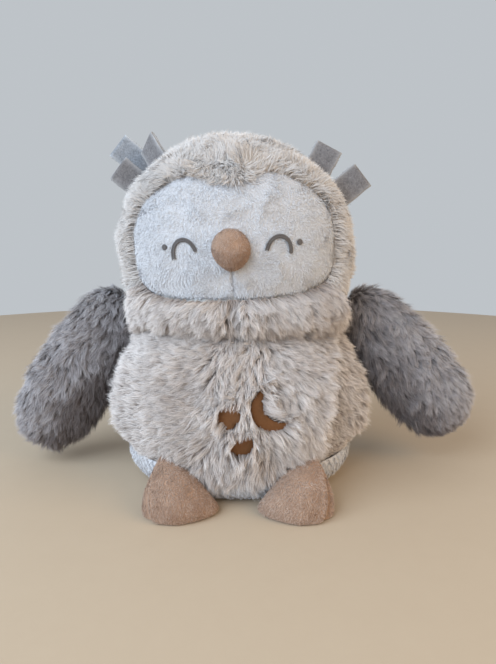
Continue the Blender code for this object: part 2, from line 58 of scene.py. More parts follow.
def reach(drop, widest, narrowed):
    """Semi-axis of an ellipse that narrows over a drop: drop / sqrt(1 - (narrowed / widest)^2)."""
    return drop / math.sqrt(1 - (narrowed / widest) ** 2)


BODY = dict(width=86 * MM, front=76 * MM, back=72 * MM, middle=48 * MM)
BODY["lower"] = reach(BODY["middle"], BODY["width"], SEAT_HALF_WIDTH)
BODY["upper"] = reach(NECK_HEIGHT - BODY["middle"], BODY["width"], NECK_HALF_WIDTH)
BODY_CENTRE = np.array([0, 0, BODY["middle"]])


def place(x, y, z):
    """Points from three arrays or numbers, stretched to one shape."""
    return np.stack(np.broadcast_arrays(x, y, z), axis=-1)


def ease(value, start, end):
    """Smooth step from 0 at start to 1 at end: t^2 (3 - 2 t), t being the clipped share."""
    share = np.clip((value - start) / (end - start), 0, 1)
    return share * share * (3 - 2 * share)


def hump(value, middle, half_width):
    """Bell of height 1 at the middle: exp(-((value - middle) / half_width)^2)."""
    return np.exp(-(((value - middle) / half_width) ** 2))


def height_share(form, z):
    """Height over a form's middle, as a share of its upper semi-axis, or of the lower one below."""
    return (z - form["middle"]) / np.where(z > form["middle"], form["upper"], form["lower"])


def share_at(form, z):
    """Share of a form's full width at height z: sqrt(1 - height share^2)."""
    return np.sqrt(np.clip(1 - height_share(form, z) ** 2, 0, None))


def round_form(form, turn, tilt, inset):
    """Point of an oval form, each semi-axis less the inset: x = w cos tilt cos turn,
    y = d cos tilt sin turn, z = middle + r sin tilt."""
    depth = np.where(np.sin(turn) < 0, form["front"], form["back"]) - inset
    rise = np.where(tilt > 0, form["upper"], form["lower"]) - inset
    x = (form["width"] - inset) * np.cos(tilt) * np.cos(turn)
    y = depth * np.cos(tilt) * np.sin(turn)
    return place(x, y, form["middle"] + rise * np.sin(tilt))


def drift(points, size, seed):
    """Smooth wander, mostly from -1 to 1: a sum of 14 sines of the points along seeded
    directions, with wavelengths about the given size."""
    draw = np.random.default_rng(seed)
    waves = draw.normal(size=(14, 3))
    waves /= np.linalg.norm(waves, axis=1, keepdims=True)
    waves *= 2 * math.pi / size * draw.uniform(0.6, 1.5, (14, 1))
    phases = draw.uniform(0, 2 * math.pi, 14)
    return np.sin(points @ waves.T + phases).sum(axis=-1) / 4.5


def closed_form(form, low, high, inset, seed):
    """Surface of a whole filling: out along its floor, up the side and in over its top, pushed out
    and in by a slow wander. The floor and the top take the first and the last END_SHARE of b."""

    def surface(a, b):
        """Point at the turn 2 pi a, its tilt rising evenly with b between the two ends."""
        side = np.clip((b - END_SHARE) / (1 - 2 * END_SHARE), 0, 1)
        start = math.asin(max((low - form["middle"]) / (form["lower"] - inset), -1))
        end = math.asin(min((high - form["middle"]) / (form["upper"] - inset), 1))
        points = round_form(form, 2 * math.pi * a, start + (end - start) * side, inset)
        shrink = np.clip(b / END_SHARE, 0, 1) * np.clip((1 - b) / END_SHARE, 0, 1)
        lump = 1 + FIBRE_LUMP / form["width"] * drift(points, FIBRE_LUMP_LENGTH, seed)
        points[..., :2] *= (shrink * lump)[..., None]
        return points

    return surface


class Dye:
    """One socket of a finish. Its +, -, * and ** add Math nodes, and node() adds any other."""

    def __init__(self, tree, socket=None):
        self.tree = tree
        self.socket = socket

    def node(self, kind, settings=None, sockets=None, output=0):
        """Adds a node of a kind, sets its settings, then gives its sockets values or links."""
        made = self.tree.nodes.new(kind)
        for key, value in (settings or {}).items():
            if key == "stops":
                while len(made.color_ramp.elements) < len(value):
                    made.color_ramp.elements.new(1.0)
                for element, (position, colour) in zip(made.color_ramp.elements, value):
                    element.position = position
                    element.color = (*colour, 1.0)
            else:
                setattr(made, key, value)
        for key, value in (sockets or {}).items():
            if isinstance(value, Dye):
                self.tree.links.new(value.socket, made.inputs[key])
            elif made.inputs[key].type == "RGBA":
                made.inputs[key].default_value = (*value, 1.0)
            else:
                made.inputs[key].default_value = value
        return Dye(self.tree, made.outputs[output])

    def math(self, operation, first, second=0.0):
        """The result of an operation on two dyes or numbers."""
        return self.node("ShaderNodeMath", {"operation": operation}, {0: first, 1: second})

    def __add__(self, other):
        return self.math("ADD", self, other)

    def __sub__(self, other):
        return self.math("SUBTRACT", self, other)

    def __rsub__(self, other):
        return self.math("SUBTRACT", other, self)

    def __mul__(self, other):
        return self.math("MULTIPLY", self, other)

    def __pow__(self, other):
        return self.math("POWER", self, other)

    __radd__ = __add__
    __rmul__ = __mul__

    def between(self, low, high):
        """Colour low where this is 0, and high where it is 1."""
        sockets = {0: self, 6: low, 7: high}
        return self.node("ShaderNodeMix", {"data_type": "RGBA"}, sockets, output=2)

    def noise(self, scale, detail=3.0, roughness=0.6):
        """Cloudy noise from 0 to 1 over the piece's own coordinates, in metres."""
        where = self.node("ShaderNodeTexCoord", output=3)
        sockets = {"Vector": where, "Scale": scale, "Detail": detail, "Roughness": roughness}
        return self.node("ShaderNodeTexNoise", sockets=sockets)

    def wear(self, shader, colour, height=None, depth=0.3 * MM):
        """Gives the shader a colour, and a height that a Bump node turns into its normal."""
        self.tree.links.new(colour.socket, shader.inputs["Base Color"])
        if height is not None:
            sockets = {"Strength": 0.7, "Distance": depth, "Height": height}
            bump = self.node("ShaderNodeBump", sockets=sockets)
            self.tree.links.new(bump.socket, shader.inputs["Normal"])


def finish(name, roughness, sheen=0.0):
    """A Principled material with its constants set on it, its shader, and its first dye."""
    made = bpy.data.materials.new(name)
    made.use_nodes = True
    shader = made.node_tree.nodes["Principled BSDF"]
    for key, value in (("Roughness", roughness), ("Specular IOR Level", 0.2),
                       ("Sheen Weight", sheen), ("Sheen Roughness", 0.5)):
        shader.inputs[key].default_value = value
    return made, shader, Dye(made.node_tree)


def cloth_finish(name, dark, light, grain, depth, roughness=0.9, sheen=0.0):
    """Cloth in two tones, mixed by fine and broad noise, with the fine noise as its nap."""
    made, shader, dye = finish(name, roughness, sheen)
    fine = dye.noise(grain, 4.0, 0.7)
    broad = dye.noise(grain / 12, 2.0)
    dye.wear(shader, (fine * 0.7 + broad * 0.3).between(dark, light), fine, depth)
    return made


def piece_of(name, mesh, material):
    """A smooth piece of one material, made of a mesh."""
    mesh.materials.append(material)
    mesh.shade_smooth()
    piece = bpy.data.objects.new(name, mesh)
    bpy.context.scene.collection.objects.link(piece)
    return piece


def sheet_of(name, surface, columns, rows, material, centre, thickness=0.0):
    """A piece from a surface of two shares, worked out on a grid, its faces turned away from the
    centre. Points that meet are merged, and a thickness is added on the inner side."""
    a = np.linspace(0, 1, columns)[None, :]
    b = np.linspace(0, 1, rows)[:, None]
    points = surface(a, b)
    normal = np.cross(np.diff(points, axis=1)[:-1], np.diff(points, axis=0)[:, :-1])
    outward = (normal * (points[:-1, :-1] - centre)).sum()
    index = np.arange(rows * columns).reshape(rows, columns)
    corners = [index[:-1, :-1], index[:-1, 1:], index[1:, 1:], index[1:, :-1]]
    faces = np.stack(corners if outward > 0 else corners[::-1], axis=-1)
    mesh = bpy.data.meshes.new(name)
    mesh.from_pydata(points.reshape(-1, 3), [], faces.reshape(-1, 4).tolist())
    work = bmesh.new()
    work.from_mesh(mesh)
    bmesh.ops.remove_doubles(work, verts=work.verts, dist=0.002 * MM)
    work.to_mesh(mesh)
    work.free()
    piece = piece_of(name, mesh, material)
    if thickness:
        solid = piece.modifiers.new("thickness", "SOLIDIFY")
        solid.thickness = thickness
        solid.offset = -1.0
    return piece


def stand_for(piece, body, node):
    """The piece rides on a body and stands for a node."""
    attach(piece, body)
    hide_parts(node)
    return piece


fibre = cloth_finish("polyester_fibre", FIBRE_DARK, FIBRE_LIGHT, 900, 0.6 * MM)
filling = closed_form(BODY, FILLING_DEPTH, NECK_HEIGHT - 0.2 * MM, FILLING_DEPTH, 1)
body_filling = sheet_of("body_stuffing", filling, 97, 61, fibre, BODY_CENTRE)
stand_for(body_filling, "torso", "body_filling")

# Belly: a panel of long-pile fur in the middle of the front, its backing sewn to the side panels.
# The pile is beige grey, darker at the roots and frosted at the tips. It parts at the top of the
# middle and lies level to one side and aslant to the other, and it stands up round the patches.
BASE_SEAM = 21 * MM
BELLY_LOW, BELLY_HIGH = 46 * MM, 58 * MM
BACKING, BACKING_LUMP, BACKING_LUMP_LENGTH = 1.4 * MM, 0.9 * MM, 38 * MM
ROOT_DEPTH, ROOT_SUNK, TABLE_GAP = 3.5 * MM, 0.4 * MM, 0.3 * MM
FUR_LENGTH, HAIR_WIDTH, HAIR_POINTS = 12 * MM, 0.31 * MM, 3
LOCK_STRAY = dict(flow=0.22, rise=0.13, lie=0.16, bend=0.16, tone=0.11)
HAIR_STRAY = dict(rise=0.08, lie=0.10, bend=0.06, tone=0.10, roll=0.4)
EVEN_STEPS = (0.7548776662, 0.5698402910)
LOOK_DOWN = 0.36
PILE_MAP = "OFBake"
BEIGE_DARK = ((0.26, 0.21, 0.185), (0.385, 0.32, 0.288), (0.58, 0.515, 0.48))
BEIGE_LIGHT = ((0.35, 0.295, 0.265), (0.54, 0.475, 0.44), (0.91, 0.86, 0.835))
MOON = dict(x=21 * MM, z=64 * MM, radius=13.5 * MM, bite=12.2 * MM, shift=7.4 * MM, turn=32)
STAR = dict(x=-5 * MM, z=61 * MM, radius=9.5 * MM)
DOT = dict(x=2 * MM, z=43 * MM, radius=7.5 * MM)


def front_of(form, x, z, inset):
    """y of a form's front at x and z: -(front - inset) s sqrt(1 - (x / (width - inset) s)^2),
    s being the share of the full width at that height."""
    share = share_at(form, z)
    across = x / np.maximum((form["width"] - inset) * share, 1e-6)
    return -(form["front"] - inset) * share * np.sqrt(np.clip(1 - across**2, 0, None))


def star_reach(u, v):
    """Radius of a soft five-armed star in the direction of a point, leaned by 18 degrees."""
    return STAR["radius"] * (0.84 + 0.16 * np.cos(5 * (np.arctan2(v, u) + math.radians(18))))


def outside_of_patches(x, z):
    """Distance from a point of the belly to the nearest patch, in metres, less than 0 inside."""
    turn = math.radians(MOON["turn"])
    bite_x = MOON["x"] + MOON["shift"] * math.cos(turn)
    bite_z = MOON["z"] + MOON["shift"] * math.sin(turn)
    disc = np.hypot(x - MOON["x"], z - MOON["z"]) - MOON["radius"]
    moon = np.maximum(disc, MOON["bite"] - np.hypot(x - bite_x, z - bite_z))
    star = np.hypot(x - STAR["x"], z - STAR["z"]) - star_reach(x - STAR["x"], z - STAR["z"])
    dot = np.hypot(x - DOT["x"], z - DOT["z"]) - DOT["radius"]
    return np.minimum(np.minimum(moon, star), dot)


def at_neck(z):
    """Smooth step from 0 to 1 over the last 9 mm under the neck seam."""
    return ease(z, NECK_HEIGHT - 9 * MM, NECK_HEIGHT)


def belly(a, b):
    """Backing of the belly: x across and z up, lumpy, raised under the patches, and drawn in at
    the neck."""
    z = BASE_SEAM + b * (NECK_HEIGHT - BASE_SEAM)
    x = (2 * a - 1) * (BELLY_LOW + b * (BELLY_HIGH - BELLY_LOW))
    raised = 1 - ease(outside_of_patches(x, z), -0.5 * MM, 1.5 * MM)
    lump = BACKING_LUMP * drift(place(x, 0, z), BACKING_LUMP_LENGTH, 11)
    inset = (ROOT_DEPTH - lump) * (1 - raised) + 0.1 * MM + 1.5 * MM * at_neck(z)
    return place(x, front_of(BODY, x, z, inset), z)


def scatter(surface, count, start):
    """Shares a and b of points spread evenly over a surface: an even two-way sequence, whose
    steps are 1 / g and 1 / g^2 with g^3 = g + 1, carried through the running sums of the cell
    areas of a fine grid."""
    fine = 240
    edge = np.linspace(0, 1, fine + 1)
    points = surface(edge[None, :], edge[:, None])
    cells = np.cross(np.diff(points, axis=1)[:-1], np.diff(points, axis=0)[:, :-1])
    area = np.linalg.norm(cells, axis=-1) + 1e-15
    steps = np.arange(count) + start
    first, second = ((0.5 + steps * step) % 1 for step in EVEN_STEPS)
    rows = np.cumsum(area.sum(axis=1))
    aim = first * rows[-1]
    row = np.minimum(np.searchsorted(rows, aim), fine - 1)
    width = area.sum(axis=1)[row]
    b = (row + (aim - rows[row] + width) / width) / fine
    total = np.cumsum(area.ravel())
    aim = rows[row] - width + second * width
    cell = np.clip(np.searchsorted(total, aim), row * fine, row * fine + fine - 1)
    size = area.ravel()[cell]
    a = (cell - row * fine + (aim - total[cell] + size) / size) / fine
    return np.clip(a, 0, 1), np.clip(b, 0, 1)


def unit(vectors):
    """Vectors of length 1."""
    return vectors / np.maximum(np.linalg.norm(vectors, axis=-1, keepdims=True), 1e-12)


def normals_of(surface, a, b, centre):
    """Outward unit normals of a surface at shares a and b, from small steps either way."""
    step = 2e-3
    across = surface(np.clip(a + step, 0, 1), b) - surface(np.clip(a - step, 0, 1), b)
    up = surface(a, np.clip(b + step, 0, 1)) - surface(a, np.clip(b - step, 0, 1))
    normal = unit(np.cross(across, up))
    out = (normal * (surface(a, b) - centre)).sum(axis=-1, keepdims=True)
    return normal * np.sign(out)


def pile(name, surface, centre, locks, groom, material, seed, hairs=21, spread=1.35 * MM,
         clump=0.4, width=HAIR_WIDTH, bare=None):
    """Fur: locks of flat hairs that stand on a surface.

    A hair leaves its root at the angle rise from the normal and ends at the angle lie, so with
    t = rise + (lie - rise) s it has climbed (sin t - sin rise) / (lie - rise) and gone sideways
    (cos rise - cos t) / (lie - rise), times its length. It closes on its lock's middle by clump
    times s^1.3. The groom gives each lock its flow, length, rise, lie and tone, from which locks
    and hairs stray a little. The map holds a hair's tone across and the way up it."""
    draw = np.random.default_rng(seed)
    a, b = scatter(surface, locks, seed)
    root = surface(a, b)
    normal = normals_of(surface, a, b, centre)
    flow, length, rise, lie, tone = groom(root, normal, draw)
    flow = flow + LOCK_STRAY["flow"] * draw.normal(size=flow.shape)
    flow = unit(flow - (flow * normal).sum(axis=-1, keepdims=True) * normal)
    side = np.cross(normal, flow)
    length = length * draw.uniform(0.82, 1.15, locks)
    rise = rise + LOCK_STRAY["rise"] * draw.normal(size=locks)
    lie = lie + LOCK_STRAY["lie"] * draw.normal(size=locks)
    bend = LOCK_STRAY["bend"] * draw.normal(size=locks)
    tone = tone + LOCK_STRAY["tone"] * draw.normal(size=locks)

    def each(values):
        """A value of each lock, once for each of its hairs."""
        return np.repeat(values, hairs, axis=0)

    count = locks * hairs
    ring, turn = np.sqrt(draw.uniform(0, 1, count)), draw.uniform(0, 2 * math.pi, count)
    ring *= 1.6 * spread
    start = ring[:, None] * (np.cos(turn)[:, None] * each(flow) + np.sin(turn)[:, None] * each(side))
    s = np.linspace(0, 1, HAIR_POINTS)[None, :, None]
    first = each(rise)[:, None, None] + HAIR_STRAY["rise"] * draw.normal(size=(count, 1, 1))
    last = each(lie)[:, None, None] + HAIR_STRAY["lie"] * draw.normal(size=(count, 1, 1))
    angle = first + (last - first) * s
    climb = (np.sin(angle) - np.sin(first)) / (last - first)
    away = (np.cos(first) - np.cos(angle)) / (last - first)
    long = (each(length) * draw.uniform(0.78, 1.08, count))[:, None, None]
    twist = (each(bend) + HAIR_STRAY["bend"] * draw.normal(size=count))[:, None, None]
    out, ahead, aside = each(normal)[:, None], each(flow)[:, None], each(side)[:, None]
    path = each(root)[:, None] + start[:, None] * (1 - clump * s**1.3)
    path = path + long * (out * climb + ahead * away + aside * twist * s * s)
    path = path - out * ROOT_SUNK
    path[..., 2] = np.maximum(path[..., 2], TABLE_GAP)

    roll = draw.normal(size=(count, 1, 1)) * HAIR_STRAY["roll"]
    face = np.cos(roll) * out + np.sin(roll) * aside
    across = unit(np.cross(np.gradient(path, axis=1), face))
    taper = np.sqrt(1 - 0.92 * s[:, :-1] ** 2) * width / 2
    half = across[:, :-1] * taper * draw.uniform(0.8, 1.25, (count, 1, 1))
    pairs = np.stack([path[:, :-1] - half, path[:, :-1] + half], axis=2).reshape(count, -1, 3)
    points = np.concatenate([pairs, path[:, -1:]], axis=1)
    shade = np.clip(each(tone) + HAIR_STRAY["tone"] * draw.normal(size=count), 0.03, 0.97)
    if bare is not None:
        halfway = (path[:, 1:] + path[:, :-1]) / 2
        kept = ~bare(np.concatenate([path[:, 1:], halfway], axis=1)).any(axis=1)
        points, shade = points[kept], shade[kept]
        count = len(points)

    segments = HAIR_POINTS - 1
    per = 2 * segments + 1
    quads = [(2 * k, 2 * k + 1, 2 * k + 3, 2 * k + 2) for k in range(segments - 1)]
    order = np.array(sum(quads, ()) + (per - 3, per - 2, per - 1))
    corners = (np.arange(count)[:, None] * per + order).ravel()
    starts = (np.arange(count)[:, None] * len(order) + 4 * np.arange(segments)).ravel()
    up = np.repeat(np.linspace(0.02, 0.98, HAIR_POINTS), 2)[:per][order]
    swing = np.where(order % 2 == 0, -0.004, 0.004)
    map_points = np.stack(np.broadcast_arrays(shade[:, None] + swing, up[None, :]), axis=-1)

    mesh = bpy.data.meshes.new(name)
    mesh.vertices.add(count * per)
    mesh.loops.add(len(corners))
    mesh.polygons.add(len(starts))
    mesh.vertices.foreach_set("co", points.astype(np.float32).ravel())
    mesh.loops.foreach_set("vertex_index", corners.astype(np.int32))
    mesh.polygons.foreach_set("loop_start", starts.astype(np.int32))
    mesh.update(calc_edges=True)
    mesh.uv_layers.new(name=PILE_MAP).data.foreach_set("uv", map_points.astype(np.float32).ravel())
    return piece_of(name, mesh, material)


def pile_finish(name, dark, light, sheen=0.4):
    """Fur dyed from root to tip. Each of dark and light is a root, a middle and a tip colour, and
    a hair's tone says how far it goes from the first to the second."""
    made, shader, dye = finish(name, 0.8, sheen)
    where = dye.node("ShaderNodeUVMap", {"uv_map": PILE_MAP})
    tone, up = (dye.node("ShaderNodeSeparateXYZ", sockets={0: where}, output=k) for k in (0, 1))
    ends = [dye.node("ShaderNodeValToRGB", {"stops": [(0.0, c[0]), (0.42, c[1]), (0.9, c[2])]},
                     {0: up}) for c in (dark, light)]
    dye.wear(shader, tone.between(*ends))
    return made


def belly_bare(path):
    """True for hair points that would hide the part of a patch that shows. Seen from above the
    patches, a point that stands out hides what lies LOOK_DOWN times as far below it."""
    x, z = path[..., 0], path[..., 2]
    out = np.clip(front_of(BODY, x, z, 0) - path[..., 1], 0, None)
    z = z - LOOK_DOWN * out
    inside = outside_of_patches(x, z) < -0.1 * MM + 0.5 * MM * drift(path, 5 * MM, 77)
    by_star = z < STAR["z"] + 0.5 * MM - 0.12 * (x - STAR["x"])
    by_star = by_star & (np.abs(x - STAR["x"]) < 6.3 * MM)
    by_dot = z < DOT["z"] + 0.30 * (x - DOT["x"]) + 0.6 * MM
    by_moon = z < MOON["z"] + 9.5 * MM
    left, low = x < 5.5 * MM, z < 52 * MM
    clear = np.where(low & (x < 14 * MM), by_dot, np.where(left, by_star, by_moon))
    return inside & clear


def belly_groom(root, normal, draw):
    """The belly's pile: down the middle, level to the owl's right, aslant to its left. It hangs
    over the seam between the feet, is brushed aside beyond them, and stands up in a ridge along
    the panel's left edge. Painted shade darkens it in the hollow above the star, under the neck
    and towards the bottom, and painted light lightens it towards the top."""
    x, z = root[:, 0] / MM, root[:, 2] / MM
    level = ease(-x, 4, 30) * ease(z, 26, 52)
    slant = ease(x, 4, 30)
    low = 1 - ease(z, 30, 50)
    outer = ease(np.abs(x), 26, 38) * (1 - ease(z, 25, 40))
    hang = (1 - ease(np.abs(x), 22, 32)) * (1 - ease(z, 22, 36))
    across = -1.25 * level + 0.85 * slant * (1 - 0.7 * low) + 1.6 * outer * np.sign(x)
    down = -1 + 0.8 * level + 0.75 * outer
    swirl = 0.55 * drift(root, 30 * MM, 21) + 0.25 * drift(root, 11 * MM, 22)
    flow = place(across + swirl * (1 - outer), 0.35 * np.abs(across), down)
    near = 1 - ease(outside_of_patches(root[:, 0], root[:, 2]), 2 * MM, 12 * MM)
    ridge = hump(x, 43 + 0.18 * (z - 25), 5) * ease(z, 22, 36)
    tuft = np.maximum(np.maximum(near, hump(x, 22, 16) * hump(z, 55, 22)), 0.8 * ridge)
    hollow = hump(x, -26, 13) * hump(z, 71, 6)
    neck = at_neck(root[:, 2])
    length = FUR_LENGTH * (1 + 0.10 * drift(root, 16 * MM, 23) - 0.25 * hollow)
    length = length * (1 + 0.3 * hang - 0.5 * outer - 0.25 * neck)
    rise = np.radians(24 - 9 * tuft + 20 * hollow + 6 * neck)
    lie = np.radians(82 - 14 * tuft + 14 * hollow)
    # Painted shade: the tone darkens in the hollow above the star.
    tone = 0.48 + 0.14 * drift(root, 20 * MM, 24) - 0.40 * hollow + 0.22 * tuft + 0.12 * ridge
    # Painted light and shade: the tone is lighter towards the top, and darker towards the bottom and
    # in the crease under the neck.
    return flow, length, rise, lie, tone - 0.18 * low + 0.14 * ease(z, 84, 98) - 0.12 * neck


def cover(skin, coat, body, node):
    """A stuffed skin and the pile on it ride on a body and stand for a node."""
    stand_for(skin, body, node)
    stand_for(coat, body, node)


backing = cloth_finish("fur_backing", BEIGE_DARK[0], BEIGE_LIGHT[0], 1100, 0.4 * MM)
beige = pile_finish("beige_fur", BEIGE_DARK, BEIGE_LIGHT)
skin = sheet_of("belly_backing", belly, 121, 101, backing, BODY_CENTRE, BACKING)
coat = pile("belly_fur", belly, BODY_CENTRE, 3000, belly_groom, beige, 31, bare=belly_bare)
cover(skin, coat, "torso", "belly_panel")

# Back and sides: one panel of the same fur from the belly's edges round the back, seamed above the
# base. On the owl's left it is drawn in beside the belly's edge, and its pile is shorter there.


def back(a, b):
    """Backing of the sides and back: z up, and the turn from one edge of the belly round to the
    other, cos turn being the belly's half width over the form's. It is lumpy, full at the sides,
    and drawn in beside the belly's left edge."""
    z = BASE_SEAM + b * (NECK_HEIGHT - BASE_SEAM)
    wide = BODY["width"] * share_at(BODY, z)
    edge = np.arccos(np.clip((BELLY_LOW + b * (BELLY_HIGH - BELLY_LOW)) / wide, -1, 1))
    turn = -edge + a * (math.pi + 2 * edge)
    tilt = np.arcsin(np.clip(height_share(BODY, z), -1, 1))
    flat = round_form(BODY, turn, tilt, 0)
    hollow = hump(flat[..., 0], 62 * MM, 9 * MM) * hump(z, 47 * MM, 24 * MM) * (flat[..., 1] < 0)
    full = ease(np.abs(flat[..., 0]), 66 * MM, 82 * MM) * hump(z, 44 * MM, 26 * MM)
    lump = BACKING_LUMP * drift(flat, BACKING_LUMP_LENGTH, 12)
    inset = ROOT_DEPTH + 3.5 * MM * hollow - 2.5 * MM * full - lump
    points = round_form(BODY, turn, tilt, inset)
    points[..., 2] = z
    return points


def back_groom(root, normal, draw):
    """Level round the owl's right side, aslant round its left, and down the back. The pile is
    shorter in the hollow, over the base and at the neck, and stands up at the sides. Painted shade
    darkens it in the hollow and at the neck."""
    x, y, z = root.T / MM
    front = 1 - ease(y, -30, 30)
    right, left = ease(-x, 20, 60) * front, ease(x, 20, 60) * front
    swirl = 0.5 * drift(root, 32 * MM, 25)
    hollow = hump(x, 62, 10) * hump(z, 45, 25) * (y < 0)
    full = ease(np.abs(x), 66, 80) * ease(z, 20, 32)
    short = 1 - ease(z, 22, 42)
    neck = at_neck(root[:, 2])
    down = (-1 + 0.75 * right) * (1 - 0.8 * short * front)
    flow = place(-1.2 * right + 0.5 * left + swirl, right + 0.5 * left + short * front, down)
    length = FUR_LENGTH * (1 + 0.1 * drift(root, 16 * MM, 26))
    length = length * (1 - 0.5 * hollow - 0.55 * short - 0.3 * neck + 0.1 * full)
    rise = np.radians(34 + 4 * hollow - 16 * full)
    lie = np.radians(84 + 4 * hollow - 9 * full)
    # Painted shade: the tone darkens in the hollow and at the neck.
    tone = 0.50 + 0.08 * drift(root, 20 * MM, 27) - 0.1 * hollow + 0.08 * right - 0.12 * neck
    return flow, length, rise, lie, tone


skin = sheet_of("back_backing", back, 141, 71, backing, BODY_CENTRE, BACKING)
coat = pile("back_fur", back, BODY_CENTRE, 2500, back_groom, beige, 32, spread=2.1 * MM,
            width=0.48 * MM)
cover(skin, coat, "torso", "back_panel")

# Base: a cup of white short-pile velour that the owl sits on. It is flat and weighted at the seat
# and turns up to the seam under the fur.
VELOUR_DARK, VELOUR_LIGHT = (0.46, 0.45, 0.46), (0.71, 0.71, 0.74)
WHITE_DARK = ((0.36, 0.35, 0.36), (0.55, 0.54, 0.56), (0.64, 0.64, 0.66))
WHITE_LIGHT = ((0.46, 0.46, 0.475), (0.68, 0.685, 0.71), (0.81, 0.815, 0.845))
SEAT_SHARE = 0.3
BASE_PUFF = 4.2 * MM
SHORT_PILE = dict(hairs=4, clump=0.3)


def base(a, b):
    """The cup's outside: out along the seat to its rim, then up the form to the seam, puffed out
    by sin(pi times the share of the way up)^0.7."""
    low = math.asin(-BODY["middle"] / BODY["lower"])
    high = math.asin((BASE_SEAM - BODY["middle"]) / BODY["lower"])
    side = np.clip((b - SEAT_SHARE) / (1 - SEAT_SHARE), 0, 1)
    inset = 1.0 * MM * ease(b, SEAT_SHARE, SEAT_SHARE + 0.1)
    inset = inset - BASE_PUFF * np.sin(math.pi * side) ** 0.7
    points = round_form(BODY, 2 * math.pi * a, low + (high - low) * side, inset)
    points[..., :2] *= np.clip(b / SEAT_SHARE, 0, 1)[..., None]
    points[..., 2] = np.maximum(points[..., 2], 0.1 * MM)
    return points


def base_groom(root, normal, draw):
    """Short pile brushed down and round, in the dark tones of the white velour as painted shade
    under the body.
    """
    swirl = drift(root, 25 * MM, 28)
    flow = np.cross(normal, (0, 0, 1)) * swirl[:, None] + np.array([0, 0, -1.0])
    length = 2.6 * MM * ease(root[:, 2], 0.3 * MM, 2.5 * MM) + 0.3 * MM
    # Painted shade: the base's nap takes the dark end of the white velour's tones, the face's nap the
    # middle.
    tone = 0.03 + 0.05 * drift(root, 9 * MM, 29)
    return flow, length, math.radians(25), math.radians(78), tone


velour = cloth_finish("white_velour", VELOUR_DARK, VELOUR_LIGHT, 1600, 0.3 * MM, sheen=0.2)
velour_pile = pile_finish("white_velour_pile", WHITE_DARK, WHITE_LIGHT, 0.25)
skin = sheet_of("base_velour", base, 141, 41, velour, BODY_CENTRE, BACKING)
coat = pile("base_nap", base, BODY_CENTRE, 6500, base_groom, velour_pile, 33, spread=0.6 * MM,
            width=0.42 * MM, **SHORT_PILE)
cover(skin, coat, "torso", "base_panel")

# Head filling: the same fibre, a ball that widens above the neck. The head leans a little to the
# owl's right and is turned a little that way, so each of its pieces is made upright and posed.
HEAD = dict(width=78.5 * MM, front=69 * MM, back=66 * MM, middle=158 * MM)
HEAD["lower"] = reach(HEAD["middle"] - NECK_HEIGHT, HEAD["width"], NECK_HALF_WIDTH)
HEAD["upper"] = 72 * MM
HEAD_CENTRE = np.array([0, 0, HEAD["middle"]])
HEAD_LEAN = math.tan(math.radians(2.2))
HEAD_TURN = math.radians(-1.5)


def on_head(piece):
    """The piece turned about the upright and leaned: x falls by the lean times the height above
    the neck, which keeps the neck level."""
    lean = Matrix.Identity(4)
    lean[0][2] = -HEAD_LEAN
    lean[0][3] = HEAD_LEAN * NECK_HEIGHT
    piece.data.transform(lean @ Matrix.Rotation(HEAD_TURN, 4, "Z"))
    return piece


head_low, head_high = NECK_HEIGHT + 0.3 * MM, HEAD["middle"] + HEAD["upper"] - FILLING_DEPTH
filling = closed_form(HEAD, head_low, head_high, FILLING_DEPTH, 2)
head_filling = on_head(sheet_of("head_stuffing", filling, 97, 61, fibre, HEAD_CENTRE))
stand_for(head_filling, "torso", "head_filling")

# Face: a shield of white short-pile velour with a peak cut into its top, puffed out between its
# seams. A seam runs from under the beak down the middle, and the pile swirls as it was brushed.
# It is caught down under the beak and under the stitches of the closed eyes.
FACE = dict(width=66.5 * MM, middle=163 * MM, up=42 * MM, down=37 * MM, peak=8.5 * MM,
            across=15.5 * MM)
FACE_DEPTH = 3.4 * MM
BEAK = dict(z=157 * MM, wide=11 * MM, high=11.5 * MM, reach=11 * MM)
EYE = dict(apart=55 * MM, z=154.5 * MM, half=7 * MM, rise=9 * MM, tilt=13, dot_out=12.5 * MM,
           dot_up=5 * MM, dot=1.7 * MM)


def face_edge(turn):
    """Outline of the face from its middle: a superellipse of power 2.3 above and 4 below, less a
    bell-shaped peak at the top, raised on the owl's left by the lean."""
    upper = np.sin(turn) > 0
    power = np.where(upper, 2.3, 4.0)
    size = (np.abs(np.cos(turn)) ** power + np.abs(np.sin(turn)) ** power) ** (-1 / power)
    x = FACE["width"] * size * np.cos(turn)
    z = np.where(upper, FACE["up"], FACE["down"]) * size * np.sin(turn)
    z = z - FACE["peak"] * hump(x, 0, FACE["across"]) * upper
    return x, FACE["middle"] + z + HEAD_LEAN * x


def face(a, b):
    """The face's front: its outline drawn in to a point, and deeper at the edge, in the seam under
    the beak and, by the square of the way down, towards the chin."""
    edge_x, edge_z = face_edge(2 * math.pi * a)
    x, z = edge_x * b, FACE["middle"] + (edge_z - FACE["middle"]) * b
    seam = hump(x, 0, 1.0 * MM) * ease(-z, -147 * MM, -143 * MM)
    under = np.clip((FACE["middle"] - 14 * MM - z) / (23 * MM), 0, 1) ** 2
    inset = FACE_DEPTH + 2.6 * MM * ease(b, 0.9, 1.0) + 1.3 * MM * seam + 1.6 * MM * under
    inset = inset - 0.5 * MM * drift(place(x, 0, z), 45 * MM, 13)
    return place(x, front_of(HEAD, x, z, inset), z)


